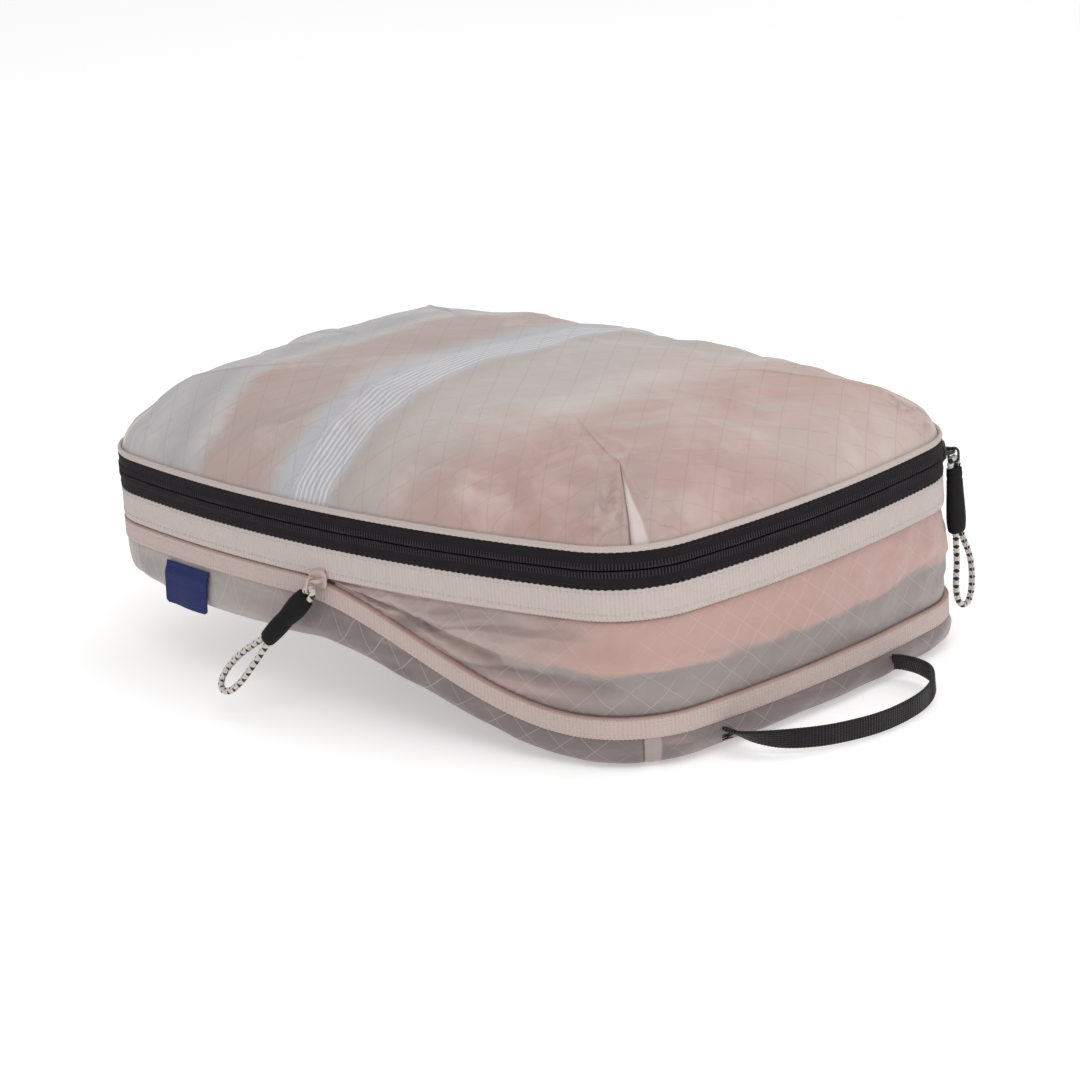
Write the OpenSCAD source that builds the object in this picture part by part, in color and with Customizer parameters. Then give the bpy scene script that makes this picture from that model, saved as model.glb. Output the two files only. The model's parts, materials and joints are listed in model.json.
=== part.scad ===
// Soft zipped bag with a domed lid, a main zip and a compression zip over a gusset.
// Z is up from the resting face. Front is -Y, the lid hinges at the back (+Y) and the handle
// is at +X. The compression zip is closed towards -X, where the base is held up against the
// band above, and open towards +X.

/* [Footprint] */
// Length of the bag along X
bag_len = 360; // [340:1:380]
// Depth of the bag along Y
bag_wid = 264; // [250:1:280]
// Radius of the four corners
corner_r = 42; // [36:1:50]
// Radius of the gently bowed long sides
bow_long = 700; // [650:10:900]
// Radius of the gently bowed short sides
bow_short = 600; // [550:10:800]

/* [Heights] */
// Height of the fabric wall of the base
base_wall = 14; // [12:1:18]
// Width of the lower half of the compression zip
comp_lower_w = 9.5; // [9:0.5:12]
// Height of the expansion gusset where the zip is open
gusset_h = 43; // [34:1:52]
// Width of the upper half of the compression zip
comp_upper_w = 15; // [14:1:18]
// Width of each half of the main zip
main_half_w = 8; // [8:1:10]
// Height of the domed lid above its binding
dome_h = 38; // [32:1:46]

/* [Fabric] */
// Thickness of the fabric shells
cloth = 1.2; // [1:0.1:1.6]
// Thickness of a zip tape
tape = 1.0; // [0.8:0.1:1.1]
// Where the closed part of the compression zip ends
open_from = -20; // [-30:1:-12]
// Where the gusset reaches its full height
open_to = 140; // [125:1:150]

/* [Hidden] */

// Puts the middle of the whole part's bounding box over the origin
module place() translate([-20.24, 11.41, 0]) children();

// Colours shared by several nodes
main_tape_color = [0.12, 0.11, 0.13];
main_coil_color = [0.08, 0.08, 0.09];
comp_tape_color = [0.86, 0.80, 0.77];
comp_coil_color = [0.84, 0.76, 0.73];
binding_color = [0.80, 0.76, 0.73];
back_color = [0.78, 0.73, 0.70];
main_metal_color = [0.10, 0.10, 0.11];
comp_metal_color = [0.85, 0.76, 0.72];
cord_color = [0.80, 0.77, 0.75];
sleeve_color = [0.10, 0.09, 0.10];

// Seam heights, those of the base taken where the compression zip is open
z_base_top = base_wall;
z_comp_lower = z_base_top + comp_lower_w;
z_comp_upper = z_comp_lower + gusset_h;
z_main_bottom = z_comp_upper + comp_upper_w;
z_main = z_main_bottom + main_half_w;
z_main_top = z_main + main_half_w;

// ---- Outline: four bowed sides and four tangent corner arcs ----
long_steps = 20;
corner_steps = 8;
short_steps = 12;
half_steps = long_steps + 2 * corner_steps + short_steps;
ring_steps = 2 * half_steps;

// The front arc is centred on (0, long_cy), the +X arc on (short_cx, 0)
long_cy = bow_long - bag_wid / 2;
short_cx = bag_len / 2 - bow_short;
// Centre of the corner at +X and -Y: each side's centre lies its own radius less corner_r away
long_reach = bow_long - corner_r;
short_reach = bow_short - corner_r;
centre_dist = norm([short_cx, long_cy]);
along = (long_reach^2 - short_reach^2 + centre_dist^2) / (2 * centre_dist);
across = sqrt(long_reach^2 - along^2);
corner_x = (short_cx * along + long_cy * across) / centre_dist;
corner_y = long_cy + (short_cx * across - long_cy * along) / centre_dist;
// Angles at which the corner meets the front and the +X side
front_angle = atan2(corner_y - long_cy, corner_x);
side_angle = atan2(corner_y, corner_x - short_cx);

function arc_points(centre, radius, from, to, steps) =
    [for (i = [0:steps - 1]) let (a = from + (to - from) * i / steps)
        centre + radius * [cos(a), sin(a)]];
// Front side, corner, +X side and corner, offset outward
function half_ring(offset) = concat(
    arc_points([0, long_cy], bow_long + offset, -180 - front_angle, front_angle, long_steps),
    arc_points([corner_x, corner_y], corner_r + offset, front_angle, side_angle, corner_steps),
    arc_points([short_cx, 0], bow_short + offset, side_angle, -side_angle, short_steps),
    arc_points([corner_x, -corner_y], corner_r + offset, -side_angle, -front_angle, corner_steps));
// Closed outline, starting at the left end of the front side
function ring(offset) = let (h = half_ring(offset)) concat(h, [for (p = h) -p]);
function slice(list, start, steps) = [for (i = [0:steps]) list[(start + i) % len(list)]];
function reversed(list) = [for (i = [len(list) - 1:-1:0]) list[i]];

function smooth(t) = let (u = max(0, min(1, t))) u * u * (3 - 2 * u);
// How far the base is held up where the compression zip is closed
function lift(x) = gusset_h * (1 - smooth((x - open_from) / (open_to - open_from)));

// Outline as 3D points at one height, and the same following the lift of the base
function level_ring(offset, z, scale = 1) =
    [for (p = ring(offset)) [p[0] * scale, p[1] * scale, z]];
function lifted_ring(offset, z, scale = 1) =
    [for (p = level_ring(offset, z, scale)) [p[0], p[1], p[2] + lift(p[0])]];

// ---- Solids built on the outline ----
// offsets = [inner, outer] from the outline, heights = [bottom, top]

// A band that runs right round
module band(offsets, heights) {
    translate([0, 0, heights[0]]) linear_extrude(height = heights[1] - heights[0])
        difference() {
            polygon(ring(offsets[1]));
            polygon(ring(offsets[0]));
        }
}
// A band along some steps of the outline
module part_band(offsets, heights, start, steps) {
    translate([0, 0, heights[0]]) linear_extrude(height = heights[1] - heights[0])
        polygon(concat(slice(ring(offsets[1]), start, steps),
            reversed(slice(ring(offsets[0]), start, steps))));
}
// Triangles joining each of the first `bands` rings of n points to the next
function wall_faces(ring_count, n, bands) =
    [for (j = [0:bands - 1]) for (i = [0:n - 1]) for (f = [0:1])
        let (here = j * n, next = ((j + 1) % ring_count) * n, k = (i + 1) % n)
        f == 0 ? [here + i, next + k, here + k] : [here + i, next + i, next + k]];
// A closed tube of rings, joined last to first
module tube(rings) {
    count = len(rings);
    polyhedron(points = [for (r = rings) for (p = r) p],
        faces = wall_faces(count, len(rings[0]), count), convexity = 6);
}
// Rings joined in order, each end closed by a fan to its own centre point
module bowl(rings, first_centre, last_centre) {
    count = len(rings);
    n = len(rings[0]);
    last = (count - 1) * n;
    polyhedron(points = concat([for (r = rings) for (p = r) p], [first_centre, last_centre]),
        faces = concat(wall_faces(count, n, count - 1),
            [for (i = [0:n - 1]) [count * n, i, (i + 1) % n]],
            [for (i = [0:n - 1]) [count * n + 1, last + (i + 1) % n, last + i]]),
        convexity = 6);
}
// A band right round that follows the lift of the base
module lifted_band(offsets, heights)
    tube([lifted_ring(offsets[1], heights[0]), lifted_ring(offsets[1], heights[1]),
        lifted_ring(offsets[0], heights[1]), lifted_ring(offsets[0], heights[0])]);

// ---- Lid ----
// Offset and height of each ring of the pillowed top, from the binding up
DOME = [[0, 0], [-2, 4.5], [-5, 8.5], [-9, 12.2], [-14, 16.2], [-20, 20.4], [-28, 25.2],
    [-37, 29.5]];
// Scale and height of the rings above, shrunk from the last offset of DOME
CROWN = [[0.75, 35.6], [0.45, 37.6], [0.12, 38]];
crown_offset = DOME[len(DOME) - 1][0];
dome_scale = dome_h / 38; // both tables are drawn for a height of 38
z_dome = z_main_top - 1;
function dome_z(height) = z_dome + dome_scale * height;

module lid_shell() color([0.80, 0.74, 0.72])
    bowl(concat(
        [for (k = reversed(CROWN)) level_ring(crown_offset - cloth, dome_z(k[1]) - cloth, k[0])],
        [for (k = reversed(DOME)) level_ring(k[0] - cloth, max(z_dome, dome_z(k[1]) - cloth))],
        [for (k = DOME) level_ring(k[0], dome_z(k[1]))],
        [for (k = CROWN) level_ring(crown_offset, dome_z(k[1]), k[0])]),
        [0, 0, z_dome + dome_h - cloth], [0, 0, z_dome + dome_h]);
module lid_binding() color([0.84, 0.78, 0.75])
    band([0.3, 2.1], [z_main_top + 0.2, z_main_top + 2.6]);
module lid_seam_binding() color(binding_color)
    band([-2.8, -1.6], [z_main_top - 3.3, z_main_top - 1.3]);

// ---- Zips ----
tape_offsets = [-tape / 2, tape / 2];
coil_offsets = [-2.3, -0.6];
// Distances from a zip's parting line to the near and far edge of a coil
gap = 0.6;
coil_reach = 2.6;
// Small clearance between parts that meet at the bottom of the main zip
seam_clear = 0.1;
z_main_tape_top = z_main_top - 1.2;

// The main zip goes round the left, front and right. It starts one step past the left end
// of the back side and stops two steps short of its right end
zip_start = half_steps + long_steps + 1;
zip_steps = ring_steps - long_steps - 3;
module zip_band(offsets, heights) part_band(offsets, heights, zip_start, zip_steps);
// One step of the outline at each end of the main zip
module end_stops(offsets, heights) for (start = [zip_start - 1, zip_start + zip_steps])
    part_band(offsets, heights, start % ring_steps, 1);

module main_zip_upper_tape() color(main_tape_color)
    zip_band(tape_offsets, [z_main + gap, z_main_tape_top]);
module main_zip_lower_tape() color(main_tape_color)
    zip_band(tape_offsets, [z_main_bottom + seam_clear, z_main - gap]);
module main_zip_upper_coil() color(main_coil_color)
    zip_band(coil_offsets, [z_main + gap, z_main + coil_reach]);
module main_zip_lower_coil() color(main_coil_color)
    zip_band(coil_offsets, [z_main - coil_reach, z_main - gap]);
module main_zip_end_stops() color(main_coil_color)
    end_stops([-2.6, -0.6], [z_main - 2.8, z_main - gap]);

module comp_zip_upper_tape() color(comp_tape_color)
    band(tape_offsets, [z_comp_upper + gap, z_main_bottom - seam_clear]);
module comp_zip_upper_coil() color(comp_coil_color)
    band(coil_offsets, [z_comp_upper + gap, z_comp_upper + coil_reach]);
module comp_zip_end_stops() color(comp_coil_color)
    end_stops([-4.6, -2.5], [z_comp_upper + gap, z_comp_upper + 2.8]);
module band_seam_binding() color(binding_color)
    band([-2.2, -0.9], [z_main_bottom - 6, z_main_bottom - 0.2]);
module comp_zip_lower_tape() color(comp_tape_color)
    lifted_band(tape_offsets, [z_base_top + 0.2, z_comp_lower - gap]);
module comp_zip_lower_coil() color(comp_coil_color)
    lifted_band(coil_offsets, [z_comp_lower - coil_reach, z_comp_lower - gap]);

// ---- Fabric strip across the back that the lid hinges on ----
back_offsets = [-0.6, 0.6];
fold_gap = 0.3;
module back_band(heights) part_band(back_offsets, heights, half_steps, long_steps);
// Below the fold line
module spine_panel() color(back_color)
    back_band([z_main_bottom + seam_clear, z_main - fold_gap]);
// Above the fold line
module lid_hinge_panel() color(back_color)
    back_band([z_main + fold_gap, z_main_tape_top]);

// ---- Gusset ----
// Offset of each fold and its place between bottom (0) and top (1)
FOLDS = [[-4.6, 0], [-5.4, 0.2], [-4.6, 0.5], [-5.4, 0.8], [-4.6, 1]];
gusset_clear = 0.2; // left free at the top and at the bottom
gusset_min_h = 0.8; // height left where the zip is closed
function gusset_ring(offset, place) = [for (p = ring(offset))
    let (height = max(gusset_min_h, gusset_h - lift(p[0]) - 2 * gusset_clear))
    [p[0], p[1], z_comp_upper - gusset_clear - height * (1 - place)]];
module gusset() color([0.70, 0.62, 0.61])
    tube(concat([for (k = FOLDS) gusset_ring(k[0], k[1])],
        [for (k = reversed(FOLDS)) gusset_ring(k[0] - cloth, k[1])]));

// ---- Base ----
// Offset and share of the wall height of each ring, from the top down
BASE = [[0, 0.98], [-0.6, 0.6], [-3.0, 0.3], [-7.0, 0.08], [-12, 0]];
// Floor rings, as scales of one offset outline
floor_offset = -14;
FLOOR = [0.82, 0.6, 0.35, 0.08];
// The cloth's thickness under the inner face fades out up the wall, to none at the rim
function base_inner_z(share) = base_wall * share + (share > 0.9 ? 0 : cloth * (1 - share));

module base_shell() color([0.66, 0.60, 0.59])
    bowl(concat(
        [for (s = reversed(FLOOR)) lifted_ring(floor_offset, cloth, s)],
        [for (k = reversed(BASE)) lifted_ring(k[0] - cloth, base_inner_z(k[1]))],
        [for (k = BASE) lifted_ring(k[0], base_wall * k[1])],
        [for (s = FLOOR) lifted_ring(floor_offset, 0, s)]),
        [0, 0, cloth + lift(0)], [0, 0, lift(0)]);
module base_seam_binding() color(binding_color)
    lifted_band([-3.2, -1.8], [z_base_top - 4, z_base_top + 3]);

// ---- Carry handle at +X: flat webbing, tilted down away from the wall ----
// X and Y along the middle of the webbing
HANDLE = [[178.2, -66], [182, -67.5], [191, -67], [203, -60], [213, -46], [219, -27],
    [221.5, -8], [220, 14], [214, 30], [204, 42], [193, 46.5], [184, 46.5], [180.2, 44.5]];
handle_pivot = [184, 0, 8];
handle_tilt = 4;
webbing_w = 9;
webbing_half_t = 0.8;
tack_size = [0.8, 7, 6];
// Catmull-Rom point between b and c
function spline(a, b, c, d, t) = 0.5 * (2 * b + (c - a) * t
    + (2 * a - 5 * b + 4 * c - d) * t^2 + (3 * b - a - 3 * c + d) * t^3);
// Four points to each step of HANDLE, without its very last point
handle_path = let (last = len(HANDLE) - 1)
    [for (i = [0:last - 1]) for (k = [0:3])
        spline(HANDLE[max(0, i - 1)], HANDLE[i], HANDLE[i + 1], HANDLE[min(last, i + 2)], k / 4)];
// A path moved sideways, to its right for a positive distance
function beside(path, distance) = [for (i = [0:len(path) - 1])
    let (step = path[min(i + 1, len(path) - 1)] - path[max(0, i - 1)], dir = step / norm(step))
    path[i] + distance * [dir[1], -dir[0]]];

module handle_webbing() color([0.09, 0.09, 0.10])
    translate(handle_pivot) rotate([0, handle_tilt, 0]) translate(-handle_pivot)
        translate([0, 0, handle_pivot[2] - 4]) linear_extrude(height = webbing_w)
            polygon(concat(beside(handle_path, webbing_half_t),
                reversed(beside(handle_path, -webbing_half_t))));
module handle_bar_tacks() color([0.05, 0.05, 0.06]) for (y = [-66, 44])
    translate([sqrt(bow_short^2 - y^2) + short_cx + 0.25, y - tack_size[1] / 2, 5])
        cube(tack_size);

// ---- Label, hanging against the front near the left end ----
label_x = -98;
label_size = [34, 0.8, 20];
label_y = long_cy - sqrt((bow_long + 1.0)^2 - label_x^2);
module label_tag() color([0.10, 0.18, 0.45])
    translate([label_x, label_y, gusset_h + z_base_top - 2])
        rotate([0, 0, asin(label_x / bow_long)])
            translate([-label_size[0] / 2, -0.9, -label_size[2]]) cube(label_size);

// ---- Slider and pull, in their own frame: X along the zip, Y outward, Z up ----
// X and Z round a slider plate
PLATE = [[-5, -2.6], [-4.4, -3.3], [1.5, -4.4], [4.2, -4.4], [5, -3.6],
    [5, 3.6], [4.2, 4.4], [1.5, 4.4], [-4.4, 3.3], [-5, 2.6]];
plate_t = 1.2;
plate_faces = [2.5, -3.0]; // Y of the outward face of the outer and inner plate
wedge_size = [2.4, 4.6, 0.7];
bar_y = 6.3; // Y of the bar the pull hangs on
bar_r = 0.55;
post_x = 3.4;
post_w = 1.4;
post_h = 2.2;
post_y = 2.4;
module slider() {
    for (y = plate_faces)
        translate([0, y, 0]) rotate([90, 0, 0]) linear_extrude(height = plate_t) polygon(PLATE);
    // wedge between the two rows of teeth
    translate([2.0, -3.1, -wedge_size[2] / 2]) cube(wedge_size);
    // pull bridge: two posts and a bar
    for (s = [-1, 1]) translate([s * post_x - post_w / 2, post_y, -post_h / 2])
        cube([post_w, bar_y - post_y + 0.8, post_h]);
    translate([-post_x, bar_y, 0]) rotate([0, 90, 0])
        cylinder(h = 2 * post_x, r = bar_r, $fn = 32);
}

// Half a turn of wire in the XZ plane
module half_turn(z, bend_r, wire_r, start) translate([0, 0, z]) rotate([90, 0, 0])
    rotate([0, 0, start]) rotate_extrude(angle = 180, $fn = 48)
        translate([bend_r, 0]) circle(r = wire_r, $fn = 24);
// A long closed loop in the XZ plane, its bends centred at z_top and z_bottom
module link(bend_r, wire_r, z_top, z_bottom) {
    half_turn(z_top, bend_r, wire_r, 0);
    half_turn(z_bottom, bend_r, wire_r, 180);
    for (s = [-1, 1]) translate([s * bend_r, 0, z_bottom])
        cylinder(h = z_top - z_bottom, r = wire_r, $fn = 24);
}

// Wire ring that joins the bridge to the cord, in the YZ plane
ring_r = 2.3;
eye_z = -5.8; // where ring and cord meet
module pull_ring() translate([0, bar_y, 0]) rotate([0, 0, 90])
    link(bend_r = ring_r, wire_r = 0.6, z_top = -1.0, z_bottom = eye_z + ring_r);

// One closed loop of cord, its upper part inside the sleeve
cord_r = 1.4;
loop_r = 3.1;
cord_end = -70;
module pull_cord() translate([0, bar_y, 0])
    link(bend_r = loop_r, wire_r = cord_r, z_top = eye_z, z_bottom = cord_end + loop_r + cord_r);

sleeve_top = -7;
sleeve_len = 32;
// Radius and height up the sleeve
SLEEVE = [[0, 0], [4.9, 0], [5.2, 1], [5.3, 6], [5.5, 12], [5.5, 20], [5.2, 25], [5.1, 31],
    [4.9, sleeve_len], [0, sleeve_len]];
channel_r = cord_r + 0.15;
module pull_sleeve() translate([0, bar_y, 0]) translate([0, 0, sleeve_top - sleeve_len])
    difference() {
        rotate_extrude($fn = 48) polygon(SLEEVE);
        translate([-loop_r, -channel_r, -1]) cube([2 * loop_r, 2 * channel_r, sleeve_len + 2]);
        for (s = [-1, 1]) translate([s * loop_r, 0, -1])
            cylinder(h = sleeve_len + 2, r = channel_r, $fn = 32);
    }

// Main zip slider stands at the +X +Y corner
main_angle = 44.5;
module at_main() translate([corner_x, -corner_y, z_main]) rotate([0, 0, main_angle - 90])
    translate([0, corner_r, 0]) mirror([1, 0, 0]) children();

// Compression zip slider stands on the front side
comp_x = -2;
module at_comp() translate([0, long_cy, z_comp_upper]) rotate([0, 0, asin(comp_x / bow_long)])
    translate([0, -bow_long, 0]) rotate([0, 0, 180]) mirror([1, 0, 0]) children();
// Its pull swings outward about the bar, and cord and sleeve lean along the zip
comp_swing = 19;
comp_lean = 42;
module raised() translate([0, bar_y, 0]) rotate([comp_swing, 0, 0])
    translate([0, -bar_y, 0]) children();
module leaning() raised() translate([0, bar_y, eye_z]) rotate([0, comp_lean, 0])
    translate([0, -bar_y, -eye_z]) children();

module main_slider_body() color(main_metal_color) at_main() slider();
module main_pull_ring() color(main_metal_color) at_main() pull_ring();
module main_pull_cord() color(cord_color) at_main() pull_cord();
module main_pull_sleeve() color(sleeve_color) at_main() pull_sleeve();
module comp_slider_body() color(comp_metal_color) at_comp() slider();
module comp_pull_ring() color(comp_metal_color) at_comp() raised() pull_ring();
module comp_pull_cord() color(cord_color) at_comp() leaning() pull_cord();
module comp_pull_sleeve() color(sleeve_color) at_comp() leaning() pull_sleeve();

place() lid_shell();
place() lid_binding();
place() lid_seam_binding();
place() main_zip_upper_tape();
place() main_zip_upper_coil();
place() main_zip_lower_tape();
place() main_zip_lower_coil();
place() main_zip_end_stops();
place() spine_panel();
place() lid_hinge_panel();
place() comp_zip_upper_tape();
place() comp_zip_upper_coil();
place() comp_zip_end_stops();
place() band_seam_binding();
place() gusset();
place() base_shell();
place() comp_zip_lower_tape();
place() comp_zip_lower_coil();
place() base_seam_binding();
place() handle_bar_tacks();
place() handle_webbing();
place() label_tag();
place() main_slider_body();
place() main_pull_ring();
place() main_pull_cord();
place() main_pull_sleeve();
place() comp_slider_body();
place() comp_pull_ring();
place() comp_pull_cord();
place() comp_pull_sleeve();
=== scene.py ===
# A soft packing cube with rounded corners. It lies flat on z = 0 with its long sides along X.
# The lid opens on a black main zip and turns on a fold along the +Y side. Below it a cream
# compression zip closes a gusset: it is closed at the -X end, where the base tray is drawn up,
# and open at the +X end, which also carries the webbing handle.
# Lengths are in mm. x and y are measured from the centre of the outline. Points on the walls
# are given as (arc length along the outline, distance outward from it, z).
import json
import math
import random
from functools import cached_property

import bmesh
import bpy
import numpy as np
from mathutils import Matrix, Vector


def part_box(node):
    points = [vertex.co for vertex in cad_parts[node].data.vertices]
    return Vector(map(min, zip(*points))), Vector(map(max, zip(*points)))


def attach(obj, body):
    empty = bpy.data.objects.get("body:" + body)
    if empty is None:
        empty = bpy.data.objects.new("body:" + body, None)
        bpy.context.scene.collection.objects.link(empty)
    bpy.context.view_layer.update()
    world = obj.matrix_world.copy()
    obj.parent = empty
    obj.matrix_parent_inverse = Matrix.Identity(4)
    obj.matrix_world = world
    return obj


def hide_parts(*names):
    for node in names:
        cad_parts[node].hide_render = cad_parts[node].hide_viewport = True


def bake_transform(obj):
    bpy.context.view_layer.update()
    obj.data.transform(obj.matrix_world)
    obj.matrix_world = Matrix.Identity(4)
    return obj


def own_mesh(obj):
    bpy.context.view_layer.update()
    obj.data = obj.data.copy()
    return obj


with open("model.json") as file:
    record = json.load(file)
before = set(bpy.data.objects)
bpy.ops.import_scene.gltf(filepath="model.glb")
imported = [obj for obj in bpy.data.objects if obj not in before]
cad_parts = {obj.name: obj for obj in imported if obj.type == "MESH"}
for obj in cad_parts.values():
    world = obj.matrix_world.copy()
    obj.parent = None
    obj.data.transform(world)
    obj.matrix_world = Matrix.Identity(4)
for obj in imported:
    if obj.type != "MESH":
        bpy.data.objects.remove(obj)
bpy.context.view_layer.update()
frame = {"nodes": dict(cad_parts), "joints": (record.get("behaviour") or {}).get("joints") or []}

random.seed(7)
MM = 0.001
DOWN = np.array([0, 0, -1.0])

# ---------------------------------------------------------------- sizes read from the CAD
_low, _high = (np.array(corner) * 1000 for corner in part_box("comp_zip_upper_tape"))
CENTRE = np.array([(_low[0] + _high[0]) / 2, (_low[1] + _high[1]) / 2, 0.0])
JOINTS = {joint["name"]: joint for joint in frame["joints"]}


def box_mm(node):
    """Low and high corners of a CAD node."""
    return [np.array(corner) * 1000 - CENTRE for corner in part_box(node)]


def joint_mm(name):
    """Place and axis of a joint."""
    joint = JOINTS[name]
    return np.array(joint["pos_m"]) * 1000 - CENTRE, np.array(joint["axis"], float)


_low, _high = box_mm("comp_zip_upper_tape")
HALF_X = (_high[0] - _low[0]) / 2 - 0.5
HALF_Y = (_high[1] - _low[1]) / 2 - 0.5
Z_COMP = _low[2] - 0.6              # where the compression zip closes
Z_BAND_TOP = _high[2] + 0.1         # top of the cream band, foot of the main zip
_low, _high = box_mm("main_zip_upper_tape")
Z_MAIN = _low[2] - 0.6              # middle line of the main zip
Z_MAIN_TOP = _high[2] + 1.2
_low, _high = box_mm("lid_shell")
Z_LID, Z_LID_TOP = _low[2], _high[2]
Z_TRAY = box_mm("comp_zip_lower_tape")[0][2] - 0.2   # foot of the lower compression tape
GUSSET_DEPTH = 43.0
Z_FOOT = Z_COMP - GUSSET_DEPTH      # foot of the open gusset
TRAVEL = JOINTS["compress"]["range_m"][1] * 1000
BEND_START, BEND_END = -20.0, 140.0   # x range over which the base comes down

# ---------------------------------------------------------------- outline
CORNER_RADIUS = 42.0
BOW_LONG, BOW_END = 700.0, 600.0    # radii of the bowed long sides and ends
LONG_OFFSET = BOW_LONG - HALF_Y     # bow centres, measured from the outline's centre
END_OFFSET = BOW_END - HALF_X


def outline_arcs():
    """Arcs (centre, radius, first angle, last angle), counter-clockwise from the -Y side."""
    reach_long, reach_end = BOW_LONG - CORNER_RADIUS, BOW_END - CORNER_RADIUS
    apart = math.hypot(LONG_OFFSET, END_OFFSET)
    along = (reach_long * reach_long - reach_end * reach_end + apart * apart) / (2 * apart)
    across = math.sqrt(reach_long * reach_long - along * along)
    cx = -END_OFFSET / apart * along + LONG_OFFSET / apart * across
    cy = LONG_OFFSET - LONG_OFFSET / apart * along - END_OFFSET / apart * across
    leave_long = math.atan2(cy - LONG_OFFSET, cx)
    meet_end = math.atan2(cy, cx + END_OFFSET)
    half = [
        ((0, LONG_OFFSET), BOW_LONG, -math.pi - leave_long, leave_long),
        ((cx, cy), CORNER_RADIUS, leave_long, meet_end),
        ((-END_OFFSET, 0), BOW_END, meet_end, -meet_end),
        ((cx, -cy), CORNER_RADIUS, -meet_end, -leave_long),
    ]
    return half + [((-c[0], -c[1]), r, a0 + math.pi, a1 + math.pi) for c, r, a0, a1 in half]


ARCS = outline_arcs()
ARC_X = np.array([arc[0][0] for arc in ARCS])
ARC_Y = np.array([arc[0][1] for arc in ARCS])
ARC_RADIUS = np.array([arc[1] for arc in ARCS])
ARC_ANGLE = np.array([arc[2] for arc in ARCS])
ARC_LENGTH = np.array([r * (a1 - a0) for _, r, a0, a1 in ARCS])
ARC_START = np.concatenate([[0], np.cumsum(ARC_LENGTH)])
PERIMETER = ARC_START[-1]
LONG_SIDE, CORNER, END_SIDE = ARC_LENGTH[:3]
LAST_CORNER = LONG_SIDE + CORNER + END_SIDE     # start of the +X +Y corner
# the main zip runs round three sides and stops in the two +Y corners
ZIP_START = -(PERIMETER - (PERIMETER / 2 + LONG_SIDE + CORNER / 8))
ZIP_END = LAST_CORNER + CORNER * 6 / 8
CORNER_MIDDLES = [
    LONG_SIDE + CORNER / 2,
    LAST_CORNER + CORNER / 2,
    PERIMETER / 2 + LONG_SIDE + CORNER / 2,
    PERIMETER - CORNER / 2,
]


def path(s, out=0.0):
    """Points and outward normals at arc length s, moved outward by out."""
    s = np.mod(np.asarray(s, float), PERIMETER)
    arc = np.clip(np.searchsorted(ARC_START, s, side="right") - 1, 0, 7)
    radius = ARC_RADIUS[arc]
    angle = ARC_ANGLE[arc] + (s - ARC_START[arc]) / radius
    nx, ny = np.cos(angle), np.sin(angle)
    return ARC_X[arc] + (radius + out) * nx, ARC_Y[arc] + (radius + out) * ny, nx, ny


def around(count):
    """Evenly spaced arc lengths round the whole outline."""
    return np.arange(count) * PERIMETER / count


def corner_offset(s):
    """Signed arc distance to the middle of the closest corner."""
    best = np.full(s.shape, 1e9)
    for middle in CORNER_MIDDLES:
        offset = np.mod(s - middle + PERIMETER / 2, PERIMETER) - PERIMETER / 2
        best = np.where(np.abs(offset) < np.abs(best), offset, best)
    return best


def ease(u):
    u = np.clip(u, 0, 1)
    return u * u * (3 - 2 * u)


def openness(x):
    """0 where the compression zip is closed, 1 where it is fully open."""
    return ease((x - BEND_START) / (BEND_END - BEND_START))


def lift(x):
    """How far the base is drawn up at x."""
    return TRAVEL * (1 - openness(x))


def ripple(distance, period):
    return np.sin(distance * 2 * math.pi / period)


def bell(distance, width):
    return np.exp(-(distance / width) ** 2)


def power(value, exponent):
    """Power that keeps the sign, for rounded-square sections."""
    return np.sign(value) * np.abs(value) ** exponent


def unit(vector):
    return vector / np.linalg.norm(vector)


class Waves:
    """Smooth repeatable surface noise made of sine waves about one wavelength long."""

    def __init__(self, seed, wavelength, aniso=1.0):
        draw = np.random.default_rng(seed).uniform
        self.terms = []
        for _ in range(14):
            angle = draw(0, 2 * math.pi)
            rate = 2 * math.pi / (wavelength * draw(0.6, 1.6))
            self.terms.append((rate * math.cos(angle), rate * math.sin(angle) * aniso,
                               draw(0, 2 * math.pi), draw(0.5, 1)))
        self.size = sum(term[3] for term in self.terms) ** 0.5

    def __call__(self, x, y):
        total = sum(amp * np.sin(kx * x + ky * y + phase) for kx, ky, phase, amp in self.terms)
        return total / self.size / 1.3


# ---------------------------------------------------------------- mesh helpers
COLLECTION = bpy.context.scene.collection


def columns(*arrays):
    """Broadcasts the arrays together and lists them as the columns of one table."""
    return np.stack(np.broadcast_arrays(*arrays), -1).reshape(-1, len(arrays))


def with_apex(table, apex):
    return np.vstack([table, [apex]])


def add_uv(mesh, name, per_vertex):
    """Stores a mm coordinate pair per vertex as a UV map, one unit to 100 mm."""
    layer = mesh.uv_layers.new(name=name)
    vertex = np.zeros(len(mesh.loops), np.int32)
    mesh.loops.foreach_get("vertex_index", vertex)
    uv = np.asarray(per_vertex, float)[vertex] * MM * 10
    layer.data.foreach_set("uv", uv.astype(np.float32).ravel())


def link(name, mesh):
    ob = bpy.data.objects.new(name, mesh)
    COLLECTION.objects.link(ob)
    return ob


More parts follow.
